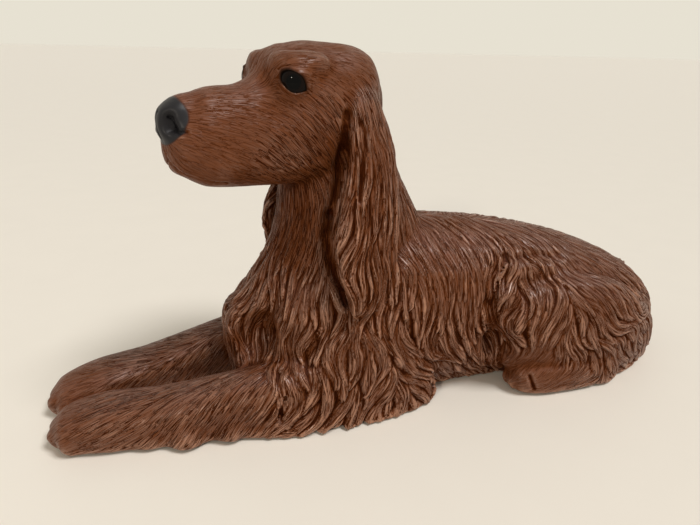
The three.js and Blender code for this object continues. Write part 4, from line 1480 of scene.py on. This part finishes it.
@dataclass(frozen=True)
class FeltFinish:
    """Dark felt with a matted nap.

    Attributes:
        thread: colour of the ground.
        nap: colour of the fibres that stand up.
        scale: how fine the nap is.
        detail: finer layers of the nap.
        roughness: of the fibres.
        sheen: how much they glow at the edge.
        bump: how much the nap's bump counts.
        bump_height: metres that the nap stands up.
    """

    thread: Colour = (0.03, 0.022, 0.018, 1)
    nap: Colour = (0.055, 0.042, 0.034, 1)
    scale: float = 900.0
    detail: float = 4.0
    roughness: float = 0.95
    sheen: float = 0.3
    bump: float = 0.6
    bump_height: float = 0.0006

    def material(self) -> bpy.types.Material:
        """Make the felt's material.

        Returns:
            The material.
        """
        shader = Shader("matted_felt")
        nap = shader.noise(shader.place(), self.scale, self.detail)
        shader.set(Base_Color=shader.mix(nap, self.thread, self.nap))
        shader.set(Roughness=self.roughness, Sheen_Weight=self.sheen)
        shader.set(Normal=shader.bump(nap, self.bump, self.bump_height))
        return shader.material


@dataclass(frozen=True)
class BoardFinish:
    """Pressed fibre board.

    Attributes:
        dark: colour of the pressed ground.
        pale: colour of the fibres.
        scale: how fine the fibres are.
        detail: finer layers of the fibres.
        roughness: of the board.
        bump: how much the fibres' bump counts.
        bump_height: metres that the fibres stand up.
    """

    dark: Colour = (0.12, 0.075, 0.045, 1)
    pale: Colour = (0.22, 0.15, 0.09, 1)
    scale: float = 500.0
    detail: float = 5.0
    roughness: float = 0.85
    bump: float = 0.4
    bump_height: float = 0.0004

    def material(self) -> bpy.types.Material:
        """Make the board's material.

        Returns:
            The material.
        """
        shader = Shader("fibre_board")
        fibre = shader.noise(shader.place(), self.scale, self.detail)
        shader.set(Base_Color=shader.mix(fibre, self.dark, self.pale), Roughness=self.roughness)
        shader.set(Normal=shader.bump(fibre, self.bump, self.bump_height))
        return shader.material


TOUCHES = [
    # hollow between the chest and the elbow
    Touch((82, 23, 42), (-9, -6.5, -1), 15, Form.TRUNK),
    # point of the shoulder
    Touch((62, 32, 55), (1.5, 2.5, 0), 12, Form.TRUNK),
    # top of the haunch
    Touch((-48, 34, 69), (2, 3, 2), 11, Form.TRUNK),
    # front of the haunch, down to the knee
    Touch((-42, 41, 56), (2, 4, 0), 11),
    Touch((-43, 44, 42), (2.5, 4, 0), 11),
    # gap before the knee
    Touch((-37, 40, 30), (-1, -9, 0), 11, Form.TRUNK),
    # lobes of feathering along the foreleg
    Touch((116, 39, 3), (0, 5, 0), 11, Form.FORELEG),
    Touch((96, 42, 3), (0, 3, 0), 9, Form.FORELEG),
    Touch((131, 37, 3), (0, 2, 0), 8, Form.FORELEG),
    # back of the skull
    Touch((-6, 13, 22), (-1.8, 1.0, 2.4), 19, Form.HEAD, HEAD),
    # brow, between the eyes and over each
    Touch((30, 0, 26), (0.3, 0, 1.0), 11, Form.HEAD, HEAD),
    Touch((32, 8, 23), (0.5, 0, 2.2), 9, Form.HEAD, HEAD),
    # bridge of the muzzle
    Touch((60, 0, 11.5), (0, 0, 1.1), 16, Form.HEAD, HEAD),
    # upper lip
    Touch((58, 12, -16), (0, 1.4, -0.5), 10, Form.HEAD, HEAD),
    # hollows below and before the eye
    Touch((37, 14, 7), (0, -1.2, 0), 8, Form.HEAD, HEAD),
    Touch((36, 11, 18), (0, -2.5, -1.5), 8, Form.HEAD, HEAD),
]
LIP = ((76.5, 0, -11), (74.8, 3.6, -14.2), (72, 7, -17.4), (66, 9.6, -19.8), (57, 10.8, -21.5))
MOUTH = Stroke(LIP, 0.9, 1.4)
NOSTRIL = Stroke(((75.8, 6.0, 4.4), (75.4, 6.6, 1.2)), 2.2, 3.4)
EAR_EDGE = (
    (7, 22, 4),
    (8.6, 21.8, -10.6),
    (8.6, 19.2, -21.8),
    (10.6, 19.3, -30.3),
    (13, 18.2, -39.3),
    (15.1, 18.2, -49.1),
    (15, 21.2, -59.2),
    (14.6, 26.9, -68.1),
    (13.9, 32, -76.2),
)
GROOVES = [
    MOUTH,
    NOSTRIL,
    # middle of the nose, down to the lip
    Stroke(((76.5, 0, 6), (77.5, 0, -4), (76, 0, -12)), 0.7, 0.9),
    # slit behind the nostril
    Stroke(((75.4, 6.6, 1.6), (73.6, 8.4, -0.6), (70.6, 9.6, -0.4)), 0.9, 1.4),
    # front edge of the ear
    Stroke(EAR_EDGE[:5], 2.2, 2.6),
    Stroke(EAR_EDGE[4:], 2.4, 3.2),
    # fold of the ear
    Stroke(((3, 27, 1), (1.8, 28.3, -3), (4.6, 31, -16), (7.5, 33.4, -30)), 1.3, 1.0),
    # between the toes of the hind foot
    Stroke(((-54.5, 51, 13), (-57.5, 53.2, 5)), 1.1, 1.4, FIGURE),
    # front of the haunch
    Stroke(((-44, 30, 72), (-36, 36, 66), (-32, 40, 54), (-34, 41, 40), (-39, 41, 30)), 2.6, 2.4, FIGURE),
    # top of the haunch, and the crest below it
    Stroke(((-44, 32, 71), (-54, 30, 71), (-66, 28.5, 71), (-80, 28.5, 68)), 2.4, 1.6, FIGURE),
    Stroke(((-46, 35, 66), (-57, 34, 66), (-70, 33, 65)), 3.2, -1.2, FIGURE),
    # edge of the feathering over the foreleg
    Stroke(((74, 27, 36), (74, 40, 29), (72.5, 45, 21), (74, 45, 10)), 1.4, 1.8, FIGURE),
    # hollow of the chest
    Stroke(((75, 23, 54), (80, 20, 45), (87, 16, 34)), 6, 2.5, FIGURE),
]
# painted shade: darker, duller paint where the figure's own shadow falls, at the throat, on the ear and the
# cheek, in the chest's hollow and in the gap before the haunch
SHADE_STROKES = [
    # throat
    Stroke(((22, 5, -32), (22, 9, -45), (25, 4, -58)), 13, 0.6),
    # front edge and middle of the ear
    Stroke(((10, 23, -8), (11, 24, -30), (15, 25, -55)), 7, 0.5),
    Stroke(((3, 30, -20), (6, 36, -45), (8, 40, -68)), 9, 0.35),
    # cheek
    Stroke(((24, 21, -4), (12, 22, -14)), 9, 0.25),
    # hollow of the chest
    Stroke(((81, 23, 44), (88, 18, 36)), 8, 0.5, FIGURE),
    # gap before the haunch
    Stroke(((-36, 42, 42), (-41, 43, 26)), 5, 0.6, FIGURE),
]


@dataclass
class CarvedCoat:
    """The carved coat of the whole figure, split into its castings.

    Attributes:
        eyes: the eyes that look out of it.
        skin: the surface that it is carved from.
        finish: its paint.
        nose_middle: middle of the bare nose in the head's frame.
        nose_size: half its length, breadth and height.
        nose_edge: where it fades out, as shares of its size.
        mouth_paint: how dark the line of the mouth is painted; one is as dark as the lids.
        nostril_paint: how dark the nostrils are painted.
        hairless: millimetres over the underside that carry no hair.
        bald: how much of a place has to be nose or lid to carry none either.
        clumped: height in millimetres over which hair lies in clumps.
        level: rounds of smoothing that find the height which the hair as a whole adds.
        close: rounds of smoothing for the relief of strands, its millimetres and its share.
        broad: the same for the relief of clumps.
        most: largest relief that counts.
    """

    eyes: EyePair
    skin: Skin = field(default_factory=Skin)
    finish: CoatFinish = field(default_factory=CoatFinish)
    nose_middle: Triple = (75.5, 0.0, 3.3)
    nose_size: Triple = (10.5, 10.8, 9.0)
    nose_edge: Pair = (1.08, 0.96)
    mouth_paint: float = 0.6
    nostril_paint: float = 1.0
    hairless: float = 0.3
    bald: float = 0.5
    clumped: float = 0.05
    level: int = 80
    close: tuple[int, float, float] = (5, 0.14, 0.6)
    broad: tuple[int, float, float] = (40, 0.9, 0.5)
    most: float = 1.5

    def build(self) -> list[bpy.types.Object]:
        """Carve the coat and split it.

        Returns:
            The castings' objects.
        """
        self.skin.build(self.eyes, TOUCHES)
        self.skin.push(-sum(groove.over(self.skin.points) for groove in GROOVES))
        self.lid = self.eyes.carve_lids(self.skin)
        self.nose = self._nose_mask()
        for line, share in ((MOUTH, self.mouth_paint), (NOSTRIL, self.nostril_paint)):
            self.lid = np.maximum(self.lid, share * line.over(self.skin.points) / line.strength)
        self._carve_hair()
        return self._split()

    def _nose_mask(self) -> np.ndarray:
        """Find the bare nose leather.

        Returns:
            How much of each point is nose, from 0 to 1.
        """
        local = HEAD.into(self.skin.points)
        inside = np.linalg.norm((local - self.nose_middle) / self.nose_size, axis=1)
        return smooth_step(*self.nose_edge, inside)

    def _carve_hair(self) -> None:
        """Carve clumps, then locks, and keep what the finish needs."""
        skin = self.skin
        flow = HairFlow(skin)
        flow.build()
        bare = np.maximum(self.nose, self.lid)
        ground = skin.points[:, 2] > skin.underside + self.hairless
        haired = ground & (bare < self.bald)
        tree = nearest_tree(skin.points)
        thick = flow.hair[:, Column.CLUMP_HEIGHT] > self.clumped
        clumps = Locks(
            skin, flow, Layer.CLUMPS, cover=2.0, length=1.0, sharp=0.8, steps=25, stray=0.6, seed=SEED + 2
        )
        high = clumps.carve(haired & thick, tree)
        flow.comb(clumps)
        locks = Locks(
            skin, flow, Layer.LOCKS, cover=2.4, length=0.7, sharp=0.9, steps=15, stray=0.15, seed=SEED + 3
        )
        high = high + locks.carve(haired, tree)
        high *= 1 - bare
        high -= skin.spread(high, self.level)
        skin.push(high)
        self.across, self.along = locks.strand_places()
        self.relief = np.clip(self._relief(self.close) + self._relief(self.broad), -self.most, self.most)
        # painted shade: the strokes lower the relief, which paints those places darker and duller
        self.relief = self.relief - sum(wash_and_shade.over(skin.points) for wash_and_shade in SHADE_STROKES)
        self.strand = flow.hair[:, Column.STRAND]

    def _relief(self, scale: tuple[int, float, float]) -> np.ndarray:
        """Measure how far the points stand over their surroundings.

        Args:
            scale: rounds of smoothing that find the surroundings, millimetres that count as one, and share.

        Returns:
            The relief at each point.
        """
        rounds, unit_height, share = scale
        skin = self.skin
        return share * (dot(skin.points - skin.spread(skin.points, rounds), skin.normals) / unit_height)

    def _split(self) -> list[bpy.types.Object]:
        """Cut the skin into the castings, each closed behind.

        Returns:
            The castings' objects.
        """
        skin = self.skin
        face_owner = skin.owners[skin.corner_points[skin.face_starts]]
        material = self.finish.material()
        made = []
        for number, casting in enumerate(Casting):
            piece = Piece(skin, np.nonzero(face_owner == number)[0])
            mesh = piece.mesh(casting.node)
            for name in ("relief", "strand", "nose", "lid"):
                piece.point_values(mesh, name, getattr(self, name))
            piece.corner_values(mesh, "across", self.across)
            piece.corner_values(mesh, "along", self.along)
            mesh.materials.append(material)
            coat = bpy.data.objects.new(casting.node.replace("_casting", "_coat"), mesh)
            bpy.context.scene.collection.objects.link(coat)
            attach(coat, BODY)
            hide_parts(casting.node)
            made.append(coat)
        return made


@dataclass
class Piece:
    """The part of the skin that one casting shows, closed behind where it is joined.

    Attributes:
        skin: the whole surface.
        faces: the numbers of the faces that the piece keeps.
        depth: millimetres that the wall behind a rim goes inwards; the middle behind it lies deeper.
        sink: millimetres that this middle lies deeper than the wall's end.
    """

    skin: Skin
    faces: np.ndarray
    depth: float = 3.5
    sink: float = 5.0

    def mesh(self, name: str) -> bpy.types.Mesh:
        """Make the piece's mesh.

        Args:
            name: the mesh's name.

        Returns:
            The closed mesh.
        """
        skin = self.skin
        self.corners = np.nonzero(np.isin(skin.corner_faces, self.faces))[0]
        points = skin.corner_points[self.corners]
        self.kept, local = np.unique(points, return_inverse=True)
        sizes = skin.face_sizes[self.faces]
        caps, added = self._caps(local, sizes)
        corners = np.concatenate([local] + [cap.ravel() for cap in caps])
        sizes = np.concatenate([sizes] + [np.full(len(cap), cap.shape[1]) for cap in caps])
        places = np.concatenate([skin.points[self.kept], added]) * MM
        mesh = bpy.data.meshes.new(name)
        mesh.vertices.add(len(places))
        mesh.vertices.foreach_set("co", places.ravel())
        mesh.loops.add(len(corners))
        mesh.loops.foreach_set("vertex_index", corners.astype(np.int32))
        mesh.polygons.add(len(sizes))
        starts = np.concatenate([[0], np.cumsum(sizes)[:-1]])
        mesh.polygons.foreach_set("loop_start", starts.astype(np.int32))
        mesh.update(calc_edges=True)
        mesh.shade_smooth()
        normals = np.concatenate([skin.normals[self.kept], np.tile((0.0, 0.0, 1.0), (len(added), 1))])
        mesh.normals_split_custom_set_from_vertices(normals.tolist())
        return mesh

    def _caps(self, local: np.ndarray, sizes: np.ndarray) -> tuple[list[np.ndarray], np.ndarray]:
        """Close each open rim by a wall that goes inwards and a fan to its middle.

        Args:
            local: the piece's own points, corner by corner.
            sizes: how many corners each face has.

        Returns:
            The walls' and the fans' faces, and the points that they add.
        """
        ends = np.cumsum(sizes)
        after = np.arange(1, len(local) + 1)
        after[ends - 1] = ends - sizes
        start, stop = local, local[after]
        count = len(self.kept)
        there = start.astype(np.int64) * count + stop
        back = stop.astype(np.int64) * count + start
        rim = ~np.isin(there, back)
        a, b = start[rim], stop[rim]
        group = np.arange(count)
        while True:
            low = group.copy()
            np.minimum.at(low, a, group[b])
            np.minimum.at(low, b, group[a])
            low = low[low]
            if np.array_equal(low, group):
                break
            group = low
        edge = np.unique(np.concatenate([a, b]))
        inner = np.full(count, -1)
        inner[edge] = count + np.arange(len(edge))
        inward = -self.skin.normals[self.kept[edge]]
        sunk = self.skin.points[self.kept[edge]] + inward * self.depth
        loops, which = np.unique(group[a], return_inverse=True)
        rings = [inner[a[which == i]] - count for i in range(len(loops))]
        middles = [sunk[ring].mean(0) + inward[ring].mean(0) * self.sink for ring in rings]
        walls = np.stack([b, a, inner[a], inner[b]], 1)
        fans = np.stack([inner[b], inner[a], count + len(edge) + which], 1)
        return [walls, fans], np.concatenate([sunk, np.array(middles).reshape(-1, 3)])

    def point_values(self, mesh: bpy.types.Mesh, name: str, values: np.ndarray) -> None:
        """Let the mesh carry a number for each point.

        Args:
            mesh: the piece's mesh.
            name: the number's name.
            values: one for each point of the skin.
        """
        full = np.zeros(len(mesh.vertices), np.float32)
        full[: len(self.kept)] = values[self.kept]
        mesh.attributes.new(name, "FLOAT", "POINT").data.foreach_set("value", full)

    def corner_values(self, mesh: bpy.types.Mesh, name: str, values: np.ndarray) -> None:
        """Let the mesh carry a number for each corner of its faces.

        Args:
            mesh: the piece's mesh.
            name: the number's name.
            values: one for each corner of the skin's faces.
        """
        full = np.zeros(len(mesh.loops), np.float32)
        full[: len(self.corners)] = values[self.corners]
        mesh.attributes.new(name, "FLOAT", "CORNER").data.foreach_set("value", full)


@dataclass
class Base:
    """The board that closes the hollow and the felt under it.

    Attributes:
        board: the board's finish.
        felt: the felt's finish.
    """

    board: BoardFinish = field(default_factory=BoardFinish)
    felt: FeltFinish = field(default_factory=FeltFinish)

    def dress(self) -> list[bpy.types.Object]:
        """Give the CAD pieces of the base their finishes.

        Returns:
            The pieces.
        """
        pieces = []
        for name, finish in (("base_board", self.board), ("base_felt", self.felt)):
            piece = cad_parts[name]
            piece.data.materials.clear()
            piece.data.materials.append(finish.material())
            pieces.append(piece)
        return pieces


@dataclass
class Studio:
    """The floor, the light and the camera.

    Attributes:
        camera_place: of the lens in millimetres.
        heading: degrees that the camera is turned about Z from looking along Y.
        pitch: degrees that it looks up.
        roll: degrees that it is turned about its own line of sight.
        lens: focal length in millimetres.
        sensor: width of the picture in the camera in millimetres.
        near: metres from the lens at which things begin to show.
        floor_side: length of the floor's sides in metres.
        floor_colour: of the floor.
        floor_grain: share of that colour that the darker grain has.
        floor_scale: how fine the grain is.
        floor_detail: finer layers of the grain.
        floor_roughness: of the floor.
        backdrop: colour behind the floor.
        sun_power: of the even light from above.
        sun_spread: degrees across which it comes.
        sun_turn: degrees that it is turned about X and Y.
        sun_colour: of this light.
        lamp_place: of the key lamp in metres.
        lamp_aim: where it points in metres.
        lamp_size: length of its sides in metres.
        lamp_power: in watts.
        lamp_colour: of its light.
        fill_colour: of the light from all round.
        fill_strength: of this light.
    """

    camera_place: Triple = (109.0, 237.0, 167.0)
    heading: float = 161.0
    pitch: float = -22.18
    roll: float = 1.42
    lens: float = 27.0
    sensor: float = 36.0
    near: float = 0.01
    floor_side: float = 60.0
    floor_colour: Colour = (0.90, 0.86, 0.77, 1)
    floor_grain: float = 0.97
    floor_scale: float = 30.0
    floor_detail: float = 3.0
    floor_roughness: float = 0.6
    backdrop: Colour = (0.80, 0.755, 0.645, 1)
    sun_power: float = 1.96
    sun_spread: float = 20.0
    sun_turn: Pair = (-22.0, -24.0)
    sun_colour: Triple = (1.0, 0.97, 0.96)
    lamp_place: Triple = (0.75, 0.85, 0.65)
    lamp_aim: Triple = (0.0, 0.0, 0.06)
    lamp_size: float = 0.09
    lamp_power: float = 3.0
    lamp_colour: Triple = (1.0, 0.9, 0.76)
    fill_colour: Colour = (1.0, 0.94, 0.85, 1)
    fill_strength: float = 0.32

    def build(self) -> None:
        """Make the floor, the lamps, the world and the camera."""
        self._floor()
        self._sun()
        self._lamp()
        self._world()
        self._camera()

    def _floor(self) -> None:
        """Lay the pale floor."""
        half = self.floor_side / 2
        mesh = bpy.data.meshes.new("floor")
        corners = [(x * half, y * half, 0) for x, y in ((-1, -1), (1, -1), (1, 1), (-1, 1))]
        mesh.from_pydata(corners, [], [(0, 1, 2, 3)])
        shader = Shader("pale_floor")
        grain = shader.noise(shader.place(), self.floor_scale, self.floor_detail)
        darker = tuple(self.floor_grain * c for c in self.floor_colour[:3]) + (1,)
        shader.set(Base_Color=shader.mix(grain, darker, self.floor_colour), Roughness=self.floor_roughness)
        mesh.materials.append(shader.material)
        floor = bpy.data.objects.new("floor", mesh)
        bpy.context.scene.collection.objects.link(floor)

    def _sun(self) -> None:
        """Light the whole floor evenly from above, with soft shadows."""
        data = bpy.data.lights.new("sky", "SUN")
        data.energy = self.sun_power
        data.angle = math.radians(self.sun_spread)
        data.color = self.sun_colour
        lamp = bpy.data.objects.new("sky", data)
        lamp.rotation_euler = (*np.radians(self.sun_turn), 0)
        bpy.context.scene.collection.objects.link(lamp)

    def _lamp(self) -> None:
        """Hang a square key lamp that points at the figure."""
        data = bpy.data.lights.new("key", "AREA")
        data.size = self.lamp_size
        data.energy = self.lamp_power
        data.color = self.lamp_colour
        lamp = bpy.data.objects.new("key", data)
        lamp.location = self.lamp_place
        lamp.rotation_mode = "QUATERNION"
        sight = Vector(self.lamp_aim) - Vector(self.lamp_place)
        lamp.rotation_quaternion = sight.to_track_quat("-Z", "Y")
        bpy.context.scene.collection.objects.link(lamp)

    def _world(self) -> None:
        """Fill the room with even light, and show a pale backdrop where it is seen."""
        world = bpy.data.worlds.new("studio")
        world.use_nodes = True
        tree = world.node_tree
        even = tree.nodes["Background"]
        even.inputs["Color"].default_value = self.fill_colour
        even.inputs["Strength"].default_value = self.fill_strength
        seen = tree.nodes.new("ShaderNodeBackground")
        seen.inputs["Color"].default_value = self.backdrop
        path = tree.nodes.new("ShaderNodeLightPath")
        share = path.outputs["Is Camera Ray"]
        for ray in ("Is Glossy Ray", "Is Transmission Ray"):
            either = tree.nodes.new("ShaderNodeMath")
            either.operation = "MAXIMUM"
            tree.links.new(share, either.inputs[0])
            tree.links.new(path.outputs[ray], either.inputs[1])
            share = either.outputs[0]
        mixed = tree.nodes.new("ShaderNodeMixShader")
        tree.links.new(share, mixed.inputs["Fac"])
        tree.links.new(even.outputs["Background"], mixed.inputs[1])
        tree.links.new(seen.outputs["Background"], mixed.inputs[2])
        tree.links.new(mixed.outputs[0], tree.nodes["World Output"].inputs["Surface"])
        bpy.context.scene.world = world

    def _camera(self) -> None:
        """Set the camera as the photograph's was."""
        data = bpy.data.cameras.new("camera")
        data.lens = self.lens
        data.sensor_width = self.sensor
        data.clip_start = self.near
        camera = bpy.data.objects.new("camera", data)
        turn = Euler((math.radians(90 + self.pitch), 0, math.radians(self.heading))).to_matrix()
        turn = turn @ Matrix.Rotation(math.radians(self.roll), 3, "Z")
        place = FIGURE.out(np.array(self.camera_place)) * MM
        camera.matrix_world = Matrix.Translation(Vector(place)) @ turn.to_4x4()
        bpy.context.scene.collection.objects.link(camera)
        bpy.context.scene.camera = camera


def main() -> None:
    """Build and dress the figurine and report each piece."""
    logging.basicConfig(level=logging.INFO, format="%(message)s")
    bpy.context.scene.view_settings.view_transform = "Standard"
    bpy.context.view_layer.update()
    eyes = EyePair()
    pieces = CarvedCoat(eyes).build() + eyes.build(EyeFinish())
    pieces += Base().dress()
    Studio().build()
    for piece in pieces:
        log.info("%s: %d faces", piece.name, len(piece.data.polygons))


if __name__ == "__main__":
    main()
